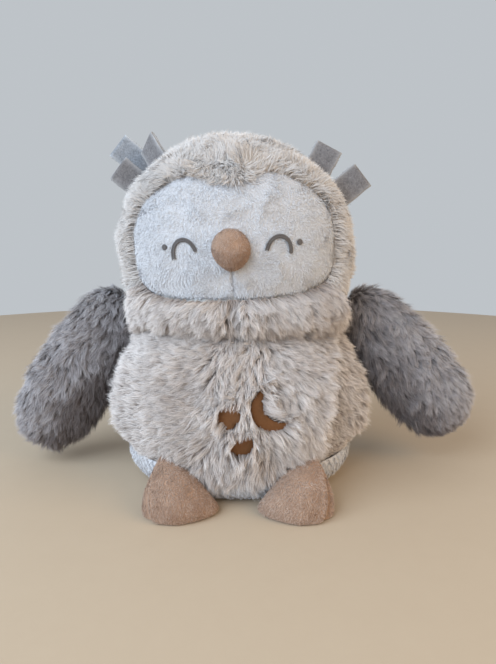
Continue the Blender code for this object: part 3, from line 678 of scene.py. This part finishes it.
def face_groom(root, normal, draw):
    """Short pile that swirls down and outwards, with a few locks darkened as painted shadows of
    the nap, which fade out to the owl's right."""
    swirl = 1.3 * drift(root, 28 * MM, 41) + 0.6 * drift(root, 10 * MM, 42)
    flow = place(np.sin(swirl) + root[:, 0] / (90 * MM), 0, -np.cos(swirl))
    length = 2.1 * MM * (1 + 0.15 * drift(root, 12 * MM, 43))
    # Painted shadow: a few locks are darkened as the nap's shadows.
    shadow_dashes = (draw.uniform(0, 1, len(root)) < 0.07) * ease(root[:, 0], -45 * MM, 5 * MM)
    tone = 0.60 + 0.10 * drift(root, 7 * MM, 44) - 0.6 * shadow_dashes
    return flow, length, math.radians(28), math.radians(80), tone


def stitch_distance(x, z):
    """Distance to the nearer eye's arc or dot: how far the point lies from the half ellipse that
    leans outwards, above the eye's ends, or outside the dot."""
    lean = math.radians(EYE["tilt"])
    dx, dz = np.abs(x) - EYE["apart"] / 2, z - HEAD_LEAN * x - EYE["z"]
    u, v = dx * math.cos(lean) - dz * math.sin(lean), dx * math.sin(lean) + dz * math.cos(lean)
    size = np.hypot(u / EYE["half"], v / EYE["rise"])
    arc = np.abs(size - 1) * (EYE["half"] + EYE["rise"]) / 2 + 1.0 * (v < -0.3 * MM)
    spot = np.hypot(dx - EYE["dot_out"], dz - EYE["dot_up"]) - EYE["dot"] + 0.7 * MM
    return np.minimum(arc, spot)


def face_bare(path):
    """True for hair points under the beak or less than 0.7 mm from the eyes' stitches."""
    x, z = path[..., 0], path[..., 2]
    under_beak = np.hypot(x, z - BEAK["z"]) < BEAK["wide"] - 1.5 * MM
    return under_beak | (stitch_distance(x, z) < 0.7 * MM)


skin = sheet_of("face_velour", face, 161, 61, velour, HEAD_CENTRE, BACKING)
coat = pile("face_nap", face, HEAD_CENTRE, 14000, face_groom, velour_pile, 34, spread=0.45 * MM,
            width=0.28 * MM, bare=face_bare, **SHORT_PILE)
cover(on_head(skin), on_head(coat), "torso", "face_panel")

# Hood and chin: fur round the face, parted by the seam over the crown that catches the tabs. The
# chin band is a strip of the body's longer fur, creased in the middle, and its locks fan out.
SEAM_BACK, SEAM_GAP = 4 * MM, 0.3 * MM
FRONT_CROWN = math.acos(-SEAM_BACK / HEAD["back"])
BACK_CROWN = math.acos((SEAM_BACK + SEAM_GAP) / HEAD["back"])
CHIN_TURN, CHIN_SPREAD = math.radians(-16), math.radians(-17.7)
CHIN_PUFF, CHIN_ROLL = 2.5 * MM, 3.5 * MM
HOOD_LUMP, HOOD_LUMP_LENGTH = 0.8 * MM, 36 * MM
HOOD_DARK = ((0.50, 0.45, 0.415), (0.555, 0.505, 0.47), (0.63, 0.585, 0.555))
HOOD_LIGHT = ((0.57, 0.525, 0.495), (0.63, 0.585, 0.555), (0.74, 0.70, 0.68))


def head_point(turn, out, inset):
    """Point of the head from the front pole: x = w sin out cos turn, y = -d cos out,
    z = middle + r sin out sin turn, each semi-axis less the inset."""
    rise = np.where(np.sin(turn) > 0, HEAD["upper"], HEAD["lower"]) - inset
    depth = np.where(np.cos(out) > 0, HEAD["front"], HEAD["back"]) - inset
    x = (HEAD["width"] - inset) * np.sin(out) * np.cos(turn)
    z = HEAD["middle"] + rise * np.sin(out) * np.sin(turn)
    return place(x, -depth * np.cos(out), z)


def face_rim(turn):
    """How far out from the front pole the face's edge lies along a turn round the head: the arcsine
    of its distance from the middle, as a share of the head's size, read off its outline."""
    edge_x, edge_z = face_edge(np.linspace(-math.pi, math.pi, 721))
    u, v = edge_x / HEAD["width"], height_share(HEAD, edge_z)
    around = np.unwrap(np.arctan2(v, u))
    around = around - 2 * math.pi * np.round(around[360] / (2 * math.pi))
    wrapped = np.arctan2(np.sin(turn), np.cos(turn))
    return np.interp(wrapped, around, np.arcsin(np.hypot(u, v)), period=2 * math.pi)


def hem(turn, crown):
    """How far out from its pole a half of the head ends: at the crown seam or, low down, at the
    neck, arcsin(drop / -sin turn) out, the drop being a share of the lower semi-axis."""
    drop = (HEAD["middle"] - NECK_HEIGHT) / HEAD["lower"]
    low = np.arcsin(np.clip(drop / np.maximum(-np.sin(turn), 1e-6), 0, 1))
    return np.where(np.sin(turn) < -drop, np.minimum(low, crown), crown)


def round_face(start, sweep, a, b):
    """Turn, way out and unraised point of a strip from the face's edge to the hem. It starts at one
    of the hood's two lower ends, which swing from CHIN_TURN by CHIN_SPREAD on the way out."""
    turn = start + a * sweep
    rim = face_rim(turn)
    out = rim + (hem(turn, FRONT_CROWN) - rim) * b
    return turn, out, head_point(turn, out, 0)


def hood_front(a, b):
    """Backing of the hood before the crown seam: lumpy, with a roll round the face that is fuller
    on the owl's left and over the brow."""
    end = CHIN_TURN + CHIN_SPREAD * b
    turn, out, flat = round_face(end, math.pi - 2 * end, a, b)
    swell = HOOD_LUMP * drift(flat, HOOD_LUMP_LENGTH, 14)
    roll = 1.0 * MM + 0.8 * MM * ease(flat[..., 0], 20 * MM, 60 * MM)
    roll = roll + 2.0 * MM * hump(flat[..., 0], 0, 16 * MM) * (flat[..., 2] > HEAD["middle"])
    return head_point(turn, out, ROOT_DEPTH - swell - roll * hump(b, 0.25, 0.25))


def chin(a, b):
    """Backing of the chin band, from the face's edge down to the neck: puffed, rolled along its
    middle and creased under the beak."""
    end = CHIN_TURN + CHIN_SPREAD * b
    turn, out, flat = round_face(math.pi - end, math.pi + 2 * end, a, b)
    uncreased = 1 - hump(flat[..., 0], 0, 3.5 * MM)
    swell = CHIN_PUFF + 0.9 * MM * drift(flat, 24 * MM, 15)
    swell = swell * ease(b, -0.1, 0.25) + CHIN_ROLL * hump(b, 0.45, 0.28)
    return head_point(turn, out, ROOT_DEPTH - swell * uncreased)


def hood_back(a, b):
    """Backing of the hood behind the crown seam, out from the back pole to the seam and neck."""
    turn = 2 * math.pi * a
    out = math.pi - hem(turn, BACK_CROWN) * b
    lump = HOOD_LUMP * drift(head_point(turn, out, 0), HOOD_LUMP_LENGTH, 16)
    return head_point(turn, out, ROOT_DEPTH - lump)


def hood_groom(root, normal, draw):
    """Soft pile that stands out round the face and is brushed back and down, and that hangs over
    the brow, above the face's peak."""
    edge = unit(place(root[:, 0], 0, root[:, 2] - HEAD["middle"]))
    swirl = np.stack([drift(root, 24 * MM, 45 + k) for k in range(3)], axis=-1)
    peak = hump(root[:, 0], 0, 15 * MM) * hump(root[:, 2], 200 * MM, 9 * MM)
    ahead = (1 - ease(root[:, 1], -45 * MM, 0)) * (1 - 1.7 * peak)
    flow = 0.8 * edge * ahead[:, None] + 0.6 * swirl + np.array([0, 0.35, -0.45])
    length = 8.5 * MM * (1 + 0.12 * drift(root, 14 * MM, 48))
    tone = 0.52 + 0.10 * drift(root, 16 * MM, 49) + 0.1 * peak
    return flow, length, np.radians(14 + 16 * peak), np.radians(76 + 10 * peak), tone


def chin_groom(root, normal, draw):
    """Locks that hang from under the face and fan out from the middle crease. They are darker in
    the crease and in two partings, as painted shade, and darker towards the owl's left."""
    x, z = root[:, 0] / MM, root[:, 2] / MM
    fan = np.tanh(x / 22) * 0.8
    flow = place(fan + 0.35 * drift(root, 14 * MM, 51), 0, -1)
    parted = np.maximum(hump(x, -36, 6), hump(x, 20, 6)) * hump(z, 112, 9)
    crease = hump(x, 0, 3)
    low = 1 - ease(z, 106, 115)
    length = 11.5 * MM * (1 + 0.14 * drift(root, 12 * MM, 52) - 0.3 * crease)
    # Painted shade: the tone darkens in the crease and the two partings.
    tone = 0.64 + 0.14 * drift(root, 14 * MM, 53) - 0.5 * (parted + crease) - 0.24 * ease(x, 5, 45)
    rise = np.radians(20 + 14 * parted + 12 * crease + 6 * low)
    return flow, length, rise, np.radians(80 + 10 * parted + 6 * low), tone


soft = pile_finish("hood_fur", HOOD_DARK, HOOD_LIGHT, 0.5)
soft_backing = cloth_finish("hood_backing", HOOD_DARK[0], HOOD_LIGHT[0], 1100, 0.4 * MM)
fleece = dict(hairs=17, clump=0.12, spread=1.8 * MM, width=0.38 * MM)
fleece_behind = dict(fleece, spread=2.0 * MM, width=0.43 * MM)
for node, surface, locks, groom, dyed, under, seed, settings in (
    ("hood_front", hood_front, 3850, hood_groom, soft, soft_backing, 35, fleece),
    ("hood_back", hood_back, 3000, hood_groom, soft, soft_backing, 36, fleece_behind),
    ("chin_band", chin, 2100, chin_groom, beige, backing, 37, {}),
):
    skin = sheet_of(node + "_backing", surface, 121, 49, under, HEAD_CENTRE, BACKING)
    coat = pile(node + "_fur", surface, HEAD_CENTRE, locks, groom, dyed, seed, **settings)
    cover(on_head(skin), on_head(coat), "torso", node)

# Beak: a small ball of tan velour, stuffed firm and drawn to a blunt point below, sewn round its
# edge to the middle of the face.
TAN_DARK, TAN_LIGHT = (0.27, 0.155, 0.10), (0.455, 0.30, 0.208)
NAP_DARK = ((0.22, 0.12, 0.075), (0.32, 0.195, 0.132), (0.36, 0.23, 0.165))
NAP_LIGHT = ((0.25, 0.145, 0.09), (0.43, 0.295, 0.22), (0.66, 0.52, 0.43))
SHORT_ROOTS = 0.8 * MM
beak_seat = float(-front_of(HEAD, 0, BEAK["z"], FACE_DEPTH))
BEAK_CENTRE = np.array([0, -beak_seat, BEAK["z"]])


def beak(a, b):
    """Front of the ball: a half ellipsoid whose lower side is drawn down a little."""
    turn, out = 2 * math.pi * a, b * math.pi / 2
    low = np.clip(-np.sin(turn), 0, 1)
    x = BEAK["wide"] * np.sin(out) ** 0.9 * np.cos(turn) * (1 - 0.10 * low**2)
    z = BEAK["high"] * np.sin(out) ** 0.9 * np.sin(turn) * (1 + 0.06 * low**3)
    y = -beak_seat - BEAK["reach"] * np.cos(out) ** 0.9 + SHORT_ROOTS
    return place(x, y, BEAK["z"] + z)


def beak_groom(root, normal, draw):
    """Short pile, smooth on top and rougher below, and darker below as painted shade."""
    low = 1 - ease(root[:, 2], BEAK["z"] - 4 * MM, BEAK["z"] + 3 * MM)
    flow = place(drift(root, 6 * MM, 55), 0, -1)
    # Painted shade: the tone darkens on the beak's underside.
    tone = 0.48 - 0.25 * low + 0.1 * drift(root, 3 * MM, 56)
    return flow, 1.7 * MM, np.radians(50 - 25 * low), math.radians(86), tone


tan = cloth_finish("tan_velour", TAN_DARK, TAN_LIGHT, 1800, 0.25 * MM, sheen=0.2)
tan_pile = pile_finish("tan_velour_pile", NAP_DARK, NAP_LIGHT, 0.35)
skin = sheet_of("beak_velour", beak, 61, 25, tan, BEAK_CENTRE, BACKING)
coat = pile("beak_nap", beak, BEAK_CENTRE, 1800, beak_groom, tan_pile, 38, spread=0.3 * MM,
            width=0.26 * MM, **SHORT_PILE)
cover(on_head(skin), on_head(coat), "torso", "beak")

# Eyes: closed eyes embroidered in dark grey thread, two rows of slanting satin stitches that meet
# along the middle like the turns of a rope, and a dot of level stitches beside each.
THREAD_DARK, THREAD_LIGHT = (0.055, 0.048, 0.047), (0.20, 0.185, 0.18)
THREAD_RADIUS = 0.32 * MM
STITCHES, STITCH_POINTS = 44, 6


def threads(name, paths, radii, material):
    """Round threads along many paths at once, K paths of R points: a ring of 6 points about each
    point, square to the path and as wide as the radii say along it, and a face over either end."""
    around = 6
    along = unit(np.gradient(paths, axis=1))
    one = unit(np.cross(along, np.array([0.31, 0.9, 0.3])))
    two = np.cross(along, one)
    turn = np.linspace(0, 2 * math.pi, around, endpoint=False)
    ring = one[:, :, None] * np.cos(turn)[:, None] + two[:, :, None] * np.sin(turn)[:, None]
    points = paths[:, :, None] + ring * radii[:, None, None]
    count, rows = paths.shape[:2]
    index = np.arange(count * rows * around).reshape(count, rows, around)
    ahead = np.roll(index, -1, axis=2)
    sides = np.stack([index[:, :-1], ahead[:, :-1], ahead[:, 1:], index[:, 1:]], axis=-1)
    ends = np.concatenate([index[:, 0, ::-1], index[:, -1]])
    mesh = bpy.data.meshes.new(name)
    mesh.from_pydata(points.reshape(-1, 3), [], sides.reshape(-1, 4).tolist() + ends.tolist())
    return piece_of(name, mesh, material)


def eye_arc(side):
    """Stitches of one closed eye: each starts on the middle line of the half ellipse, runs out
    across the band and ahead along it, and bulges by a half sine."""
    turn = np.linspace(0.03, math.pi - 0.03, STITCHES)[None, :, None]
    s = np.linspace(0, 1, STITCH_POINTS)[None, None, :]
    row = np.array([-1, 1])[:, None, None]
    angle = turn + 0.10 * s
    across = row * 1.15 * MM * s
    u = (EYE["half"] + across) * np.cos(angle)
    v = (EYE["rise"] + across) * np.sin(angle)
    lean = -side * math.radians(EYE["tilt"])
    x = side * EYE["apart"] / 2 + u * math.cos(lean) - v * math.sin(lean)
    z = EYE["z"] + u * math.sin(lean) + v * math.cos(lean) + HEAD_LEAN * x
    lift = (0.55 + 0.35 * np.sin(math.pi * (0.25 + 0.65 * s))) * MM
    y = front_of(HEAD, x, z, FACE_DEPTH) - 0.4 * MM - lift
    return place(x, y, z).reshape(-1, STITCH_POINTS, 3)


def eye_dot(side):
    """Level stitches that fill a disc: each is as long as the disc's chord there."""
    row = np.linspace(-0.85, 0.85, 7)[:, None]
    s = np.linspace(-1, 1, STITCH_POINTS)[None, :]
    x = side * (EYE["apart"] / 2 + EYE["dot_out"]) + EYE["dot"] * np.sqrt(1 - row**2) * s
    z = EYE["z"] + EYE["dot_up"] + EYE["dot"] * row + HEAD_LEAN * x
    y = front_of(HEAD, x, z, FACE_DEPTH) - (0.6 + 0.5 * np.sqrt(1 - 0.9 * s * s)) * MM
    return place(x, y, z)


thread = cloth_finish("eye_thread", THREAD_DARK, THREAD_LIGHT, 2600, 0.1 * MM, roughness=0.5)
thin_ends = THREAD_RADIUS * np.sin(math.pi * np.linspace(0.12, 0.88, STITCH_POINTS)) ** 0.4
SIDES = ((1, "left"), (-1, "right"))
for side, word in SIDES:
    for part, paths in (("arc", eye_arc(side)), ("dot", eye_dot(side))):
        node = f"{word}_eye_{part}"
        stitched = threads(node + "_stitches", paths, thin_ends, thread)
        stand_for(on_head(stitched), "torso", node)

# Tabs: five strips of felt folded double and caught by their raw ends in the crown seam. Three
# stand on the owl's right, one of them longer and paler, and two on its left. A row gives the side,
# four angles in degrees, the length and how far behind the head's middle the tab stands.
TAB = dict(width=18.5 * MM, root=5 * MM, layer=1.1 * MM, apart=0.72 * MM)
TABS = {
    "right_tab_low": (-1, (34.5, 4, 0, 0), 18.5 * MM, 0),
    "right_tab_back": (-1, (43.5, -5.5, 0, 0), 31 * MM, 10 * MM),
    "right_tab_high": (-1, (51, 3, -25, -35), 18.5 * MM, -6 * MM),
    "left_tab_high": (1, (44, 15, 0, 0), 18.5 * MM, 0),
    "left_tab_low": (1, (28, 8, 0, 0), 23 * MM, 0),
}
# Each felt is a dark and a light tone, and a paler colour painted along its cut edges as a highlight.
FELTS = {
    "grey_felt": ((0.06, 0.056, 0.057), (0.28, 0.262, 0.265), (0.44, 0.43, 0.43)),
    "light_felt": ((0.08, 0.085, 0.094), (0.38, 0.395, 0.43), (0.55, 0.56, 0.58)),
}
FUZZ_DARK = ((0.12, 0.115, 0.12), (0.16, 0.155, 0.16), (0.24, 0.235, 0.24))
FUZZ_LIGHT = ((0.20, 0.195, 0.20), (0.30, 0.295, 0.30), (0.48, 0.475, 0.485))


def felt_finish(name, dark, light, rim):
    """Felt: fine fibre noise in two tones, with a painted highlight along its cut edges, where
    loose fibre ends catch the light.
    """
    made, shader, dye = finish(name, 0.95, 0.2)
    where = dye.node("ShaderNodeUVMap", {"uv_map": "felt"})
    across = dye.node("ShaderNodeSeparateXYZ", sockets={0: where}, output=0)
    fibres = dye.noise(750, 4.0, 0.8)
    edge = dye.math("ABSOLUTE", across * 2 - 1) ** 6
    cloth = (fibres * 1.7 + dye.noise(200, 2.0) * 0.5 - 0.6).between(dark, light)
    # Painted highlight: the cut edges are paled towards the rim colour.
    dye.wear(shader, (edge * 0.7).between(cloth, rim), fibres, 0.25 * MM)
    return made


felts = {slot: felt_finish(slot, *tones) for slot, tones in FELTS.items()}
fuzz = pile_finish("felt_fuzz", FUZZ_DARK, FUZZ_LIGHT, 0.2)


def fuzz_groom(root, normal, draw):
    """Loose fibre ends that lie every way."""
    tone = draw.uniform(0.2, 0.8, len(root))
    return draw.normal(size=root.shape), 1.0 * MM, 0.4, 1.5, tone


for number, (name, (side, angles, length, behind)) in enumerate(TABS.items()):
    climb, lean, swing, twist = (math.radians(angle) for angle in angles)
    steep = math.atan2(math.sin(climb) / HEAD["upper"], math.cos(climb) / HEAD["width"])
    foot = (side * HEAD["width"] * math.cos(climb), behind,
            HEAD["middle"] + HEAD["upper"] * math.sin(climb))
    turned = Matrix.Rotation(side * (math.pi / 2 - steep - lean), 4, "Y")
    turned = turned @ Matrix.Rotation(swing, 4, "X") @ Matrix.Rotation(twist, 4, "Z")
    stand = Matrix.Translation(foot) @ turned

    def strip(a, b, length=length, number=number):
        """The strip's middle layer: up one side, a half circle over the fold, down the other."""
        leg = length + TAB["root"] - TAB["apart"]
        way = b * (2 * leg + math.pi * TAB["apart"])
        bow = np.clip((way - leg) / TAB["apart"], 0, math.pi)
        z = np.where(way < leg + math.pi * TAB["apart"] / 2, np.minimum(way, leg),
                     2 * leg + math.pi * TAB["apart"] - way)
        z = np.minimum(z, leg) + TAB["apart"] * np.sin(bow) - TAB["root"]
        x = (2 * a - 1) * TAB["width"] / 2
        y = -TAB["apart"] * np.cos(bow) + 0.7 * MM * drift(place(x, 0, z), 30 * MM, 60 + number)
        x = x + 0.25 * MM * drift(place(0, y, z), 9 * MM, 70 + number)
        return place(x, y, z)

    slot = "light_felt" if name == "right_tab_back" else "grey_felt"
    tab = sheet_of(name + "_felt", strip, 17, 61, felts[slot], np.zeros(3), TAB["layer"])
    tab.modifiers["thickness"].offset = 0.0
    spots = np.empty(len(tab.data.vertices) * 3)
    tab.data.vertices.foreach_get("co", spots)
    corner = np.empty(len(tab.data.loops), dtype=np.int32)
    tab.data.loops.foreach_get("vertex_index", corner)
    spot = spots.reshape(-1, 3)[corner]
    flat_map = np.stack([spot[:, 0] / TAB["width"] + 0.5, spot[:, 2] / (30 * MM)], axis=-1)
    edges = tab.data.uv_layers.new(name="felt")
    edges.data.foreach_set("uv", flat_map.astype(np.float32).ravel())
    nap = pile(name + "_fuzz", strip, np.zeros(3), 900, fuzz_groom, fuzz, 100 + number, hairs=3,
               spread=0.5 * MM, clump=0.1, width=0.16 * MM)
    for layer in (tab, nap):
        layer.data.transform(stand)
        stand_for(on_head(layer), "torso", name)

# Patches: a crescent moon, a star and a dot of brown imitation suede, sewn flat on the belly. The
# fur above hangs over their upper edges.
SUEDE_DARK, SUEDE_LIGHT = (0.093, 0.036, 0.012), (0.215, 0.097, 0.040)
PATCH_OUT = 1.3 * MM


def on_belly(x, z, rim):
    """A patch's outside: level with the pile's middle, rounded off where rim rises to 1."""
    return place(x, front_of(BODY, x, z, -PATCH_OUT + 0.6 * MM * rim**4), z)


def moon(a, b):
    """The crescent: from the bite's arc to the disc's along b, and from horn to horn along a."""
    radius, bite, shift = MOON["radius"], MOON["bite"], MOON["shift"]
    meet = (radius**2 - bite**2 + shift**2) / (2 * shift)
    outer_half, inner_half = math.acos(meet / radius), math.acos((meet - shift) / bite)
    outer = outer_half + a * 2 * (math.pi - outer_half)
    inner = inner_half + a * 2 * (math.pi - inner_half)
    u = radius * np.cos(outer) * b + (shift + bite * np.cos(inner)) * (1 - b)
    v = radius * np.sin(outer) * b + bite * np.sin(inner) * (1 - b)
    turn = math.radians(MOON["turn"])
    x = MOON["x"] + u * math.cos(turn) - v * math.sin(turn)
    z = MOON["z"] + u * math.sin(turn) + v * math.cos(turn)
    return on_belly(x, z, np.abs(2 * b - 1))


def star(a, b):
    """The soft five-armed star: b times its reach, along the turn."""
    turn = 2 * math.pi * a
    size = star_reach(np.cos(turn), np.sin(turn)) * b
    return on_belly(STAR["x"] + size * np.cos(turn), STAR["z"] + size * np.sin(turn), b)


def dot(a, b):
    """A round patch: b times its radius, along the turn."""
    turn = 2 * math.pi * a
    return on_belly(DOT["x"] + DOT["radius"] * b * np.cos(turn),
                    DOT["z"] + DOT["radius"] * b * np.sin(turn), b)


suede = cloth_finish("brown_suede", SUEDE_DARK, SUEDE_LIGHT, 700, 0.15 * MM, roughness=0.75)
for name, surface in (("moon_patch", moon), ("star_patch", star), ("dot_patch", dot)):
    patch = sheet_of(name + "_suede", surface, 61, 17, suede, BODY_CENTRE, 0.9 * MM)
    stand_for(patch, "torso", name)

# Wings: stuffed paddles of dense grey fur with round roots, sewn into the neck seam so that they
# swing. The pile runs from the shoulder to the tip and hangs over the lower edge.
WING = dict(length=112 * MM, root=18 * MM, width=27.5 * MM, thickness=17 * MM)
WING_ROOTS = 3.0 * MM
SHOULDER_RISE, SHOULDER_FULL = 6 * MM, 3.5 * MM
GREY_DARK = ((0.055, 0.042, 0.039), (0.105, 0.082, 0.076), (0.20, 0.168, 0.162))
GREY_LIGHT = ((0.125, 0.111, 0.110), (0.31, 0.285, 0.288), (0.63, 0.595, 0.61))
grey = pile_finish("grey_fur", GREY_DARK, GREY_LIGHT)
grey_backing = cloth_finish("grey_backing", GREY_DARK[0], GREY_LIGHT[0], 1100, 0.4 * MM)


def wing_parts(side, across, droop):
    """Surface, groom and middle of one wing, its shoulder at the given x. Along it runs -L cos t,
    and it is sin(t)^0.75 (1 - 0.2 cos t) times its half width and half thickness wide, fuller over
    the shoulder by a bell. The pile runs down to the tip. Painted shade darkens it along the lower
    edge, and painted light lightens its upper side and the right wing's shoulder end."""
    along = np.array([side * math.cos(droop), 0, -math.sin(droop)])
    upper = np.array([side * math.sin(droop), 0, math.cos(droop)])
    ahead = np.array([0, -1.0, 0])
    half = (WING["length"] + WING["root"]) / 2
    shoulder = np.array([across, 0, NECK_HEIGHT + SHOULDER_RISE])

    def surface(a, b):
        """Point at the turn 2 pi a round the wing and t = pi b along it."""
        turn, t = 2 * math.pi * a, math.pi * b
        swell = np.sin(t) ** 0.75 * (1 - 0.2 * np.cos(t))
        far = -(half - WING_ROOTS) * np.cos(t) + half - WING["root"]
        wide = (WING["width"] - WING_ROOTS) * swell * np.cos(turn)
        wide = wide + SHOULDER_FULL * np.clip(np.cos(turn), 0, 1) * hump(b, 0.17, 0.12)
        thick = (WING["thickness"] - WING_ROOTS) * swell * np.sin(turn)
        return shoulder + far[..., None] * along + wide[..., None] * upper + thick[..., None] * ahead

    def groom(root, normal, draw):
        """Down the wing with a slow swirl, but turned up at the right tip. The pile is longer on
        the brow of the shoulder, and shorter at its end and at the left tip."""
        up = ((root - shoulder) @ upper) / WING["width"]
        way = ((root - shoulder) @ along) / WING["length"]
        swirl = 0.45 * drift(root, 24 * MM, 61 + side) + 0.2 * drift(root, 9 * MM, 64 + side)
        tip = ease(way, 0.7, 1.0)
        brow = ease(up, 0.0, 0.5) * (1 - ease(way, 0.15, 0.4))
        fall = 0.25 - 0.45 * tip * (side < 0) - 0.15 * (side > 0)
        flow = along * (1 - 0.3 * tip[:, None]) - upper * (fall + swirl)[:, None]
        length = FUR_LENGTH * (1 + 0.12 * drift(root, 12 * MM, 67 + side))
        end = 1 - ease(way, -0.16, 0.04)
        length = length * (1 + 0.1 * brow - 0.5 * tip * (side > 0)) * (1 - 0.45 * end)
        # Painted shade: the tone darkens along the lower edge, most on the right wing.
        shade = ease(-up, 0.0, 0.6) * ease(way, 0.2, 0.55) * (0.3 if side > 0 else 0.85)
        # Painted light: the tone lightens up the wing's upper side.
        tone = 0.52 + 0.17 * drift(root, 15 * MM, 69 + side) + 0.32 * up - shade + 0.15 * end
        # Painted light: the right wing is lighter near its shoulder.
        tone = tone + 0.12 * (side < 0) * (1 - ease(way, 0.1, 0.5))
        return flow, length, np.radians(28 - 6 * brow + 14 * end), np.radians(82 + 8 * end), tone

    return surface, groom, shoulder + along * (half - WING["root"])


for side, word, across, droop in (
    (1, "left", 88.55 * MM, math.radians(50)),
    (-1, "right", -89.46 * MM, math.radians(57.5)),
):
    surface, groom, middle = wing_parts(side, across, droop)
    wing = word + "_wing"
    skin = sheet_of(wing + "_backing", surface, 61, 61, grey_backing, middle)
    coat = pile(wing + "_fur", surface, middle, 2800, groom, grey, 80 + side, hairs=23, clump=0.45,
                width=0.27 * MM)
    cover(skin, coat, wing, wing)

# Feet: drops of tan velour with a pointed tip, leaning back on the belly with their swollen toes
# turned in, stuffed, flat underneath, and seamed along the outer edge.
FOOT = dict(length=26.2 * MM, width=19 * MM, thickness=14.5 * MM, lean=30, turn=16, toe=7.5 * MM)
FOOT_MIDDLE = (39.2 * MM, -71.48 * MM, 10.2 * MM)
FOOT_SEAM = math.radians(32)


def foot_parts(side):
    """Surface, groom and middle of one foot. Along it runs -L cos t, and it is sin(t)^1.45
    (1 + 0.43 cos t) times its half width and half thickness wide, fuller in front, its inner side
    pushed out near the toe by a bell along its length. The outer seam is a groove between two
    ridges. It is flat on the table, by z = log(1 + e^z), and lies flush on the belly."""
    middle = np.array([side * FOOT_MIDDLE[0], FOOT_MIDDLE[1], FOOT_MIDDLE[2]])
    shape = (Matrix.Rotation(math.radians(-FOOT["lean"]), 3, "X")
             @ Matrix.Rotation(side * math.radians(FOOT["turn"]), 3, "Y"))
    turned = np.array(shape)

    def surface(a, b):
        """Point at the turn 2 pi a round the foot and t = pi b along it."""
        turn, t = 2 * math.pi * a, math.pi * b
        swell = np.sin(t) ** 1.45 * (1 + 0.43 * np.cos(t))
        outwards = side * np.cos(turn)
        from_seam = np.arctan2(-np.sin(turn), outwards) - FOOT_SEAM
        seam = 0.12 * hump(from_seam, 0, 0.09) - 0.07 * hump(np.abs(from_seam), 0.27, 0.12)
        x = (FOOT["width"] - SHORT_ROOTS) * swell * np.cos(turn) * (1 - seam)
        x = x - side * FOOT["toe"] * np.clip(-outwards, 0, 1) * hump(-np.cos(t), -0.7, 0.345)
        y = (FOOT["thickness"] - SHORT_ROOTS) * swell * np.sin(turn) * (1 - seam)
        y = y * (1 + 0.2 * np.clip(-np.sin(turn), 0, 1) ** 2)
        z = -(FOOT["length"] - SHORT_ROOTS) * np.cos(t)
        points = place(x, y, z) @ turned.T + middle
        points[..., 2] = (0.4 + np.logaddexp(0, points[..., 2] / MM - 0.4)) * MM
        flush = front_of(BODY, points[..., 0], points[..., 2], -0.6 * MM)
        points[..., 1] = np.where(flush < 0, np.minimum(points[..., 1], flush), points[..., 1])
        return points

    def groom(root, normal, draw):
        """Short pile brushed down with a swirl, and shorter and darker along the seam. Painted light
        makes the owl's left foot lighter than its right.
        """
        swirl = 0.7 * drift(root, 14 * MM, 91 + side)
        flow = place(swirl - 0.2 * side, 0, -1)
        x, y, z = ((root - middle) @ turned).T
        out = np.arctan2(-y / FOOT["thickness"], side * x / FOOT["width"])
        stitched = hump(out, FOOT_SEAM, 0.10)
        # Painted light: the owl's left foot is toned lighter than its right.
        tone = 0.41 + 0.12 * side + 0.16 * drift(root, 8 * MM, 94 + side) - 0.35 * stitched
        length = 1.7 * MM * ease(root[:, 2], 0.8 * MM, 2.5 * MM) * (1 - 0.8 * stitched) + 0.2 * MM
        return flow, length, math.radians(35), math.radians(84), tone

    return surface, groom, middle


for side, word in SIDES:
    surface, groom, middle = foot_parts(side)
    foot = word + "_foot"
    skin = sheet_of(foot + "_velour", surface, 181, 61, tan, middle)
    coat = pile(foot + "_nap", surface, middle, 6000, groom, tan_pile, 84 + side,
                spread=0.35 * MM, width=0.30 * MM, **SHORT_PILE)
    cover(skin, coat, foot, foot)

# The table that the owl sits on: a plain pale top in a pale room, under soft light that is cool
# from the window and warm from the room. The camera's focal length is 500 of the picture's 664
# pixels of height.
TABLE_DARK, TABLE_LIGHT = (0.46, 0.36, 0.26), (0.49, 0.39, 0.285)
ROOM_COLOUR = (0.515, 0.547, 0.578)
FOCUS_PIXELS, PICTURE_PIXELS, SENSOR = 500, 664, 36
top = cloth_finish("pale_table", TABLE_DARK, TABLE_LIGHT, 60, 0.02 * MM, roughness=0.6)
table_mesh = bpy.data.meshes.new("table_top")
work = bmesh.new()
bmesh.ops.create_circle(work, cap_ends=True, segments=128, radius=0.95)
work.to_mesh(table_mesh)
work.free()
piece_of("table_top", table_mesh, top)

world = bpy.data.worlds.new("pale_room")
bpy.context.scene.world = world
world.use_nodes = True
world.node_tree.nodes["Background"].inputs["Color"].default_value = (*ROOM_COLOUR, 1.0)

for name, spot, size, watts, colour in (
    ("window", (-0.8, -0.7, 0.75), 1.2, 23.0, (0.725, 0.87, 1.03)),
    ("room", (0.9, -0.5, 0.6), 0.8, 6.8, (1.0, 0.73, 0.42)),
):
    lamp = bpy.data.lights.new(name, "AREA")
    lamp.size = size
    lamp.energy = watts
    lamp.color = colour
    light = bpy.data.objects.new(name, lamp)
    light.location = spot
    aim = Vector((0, 0, 0.12)) - Vector(spot)
    light.rotation_euler = aim.to_track_quat("-Z", "Y").to_euler()
    bpy.context.scene.collection.objects.link(light)

camera_data = bpy.data.cameras.new("camera")
camera_data.sensor_width = SENSOR
camera_data.lens = FOCUS_PIXELS / PICTURE_PIXELS * SENSOR
camera_data.clip_start = 0.01
camera = bpy.data.objects.new("camera", camera_data)
camera.location = (0.006, -0.355, 0.160)
camera.rotation_euler = (math.radians(80), 0, 0)
bpy.context.scene.collection.objects.link(camera)
bpy.context.scene.camera = camera
bpy.context.scene.view_settings.view_transform = "Standard"
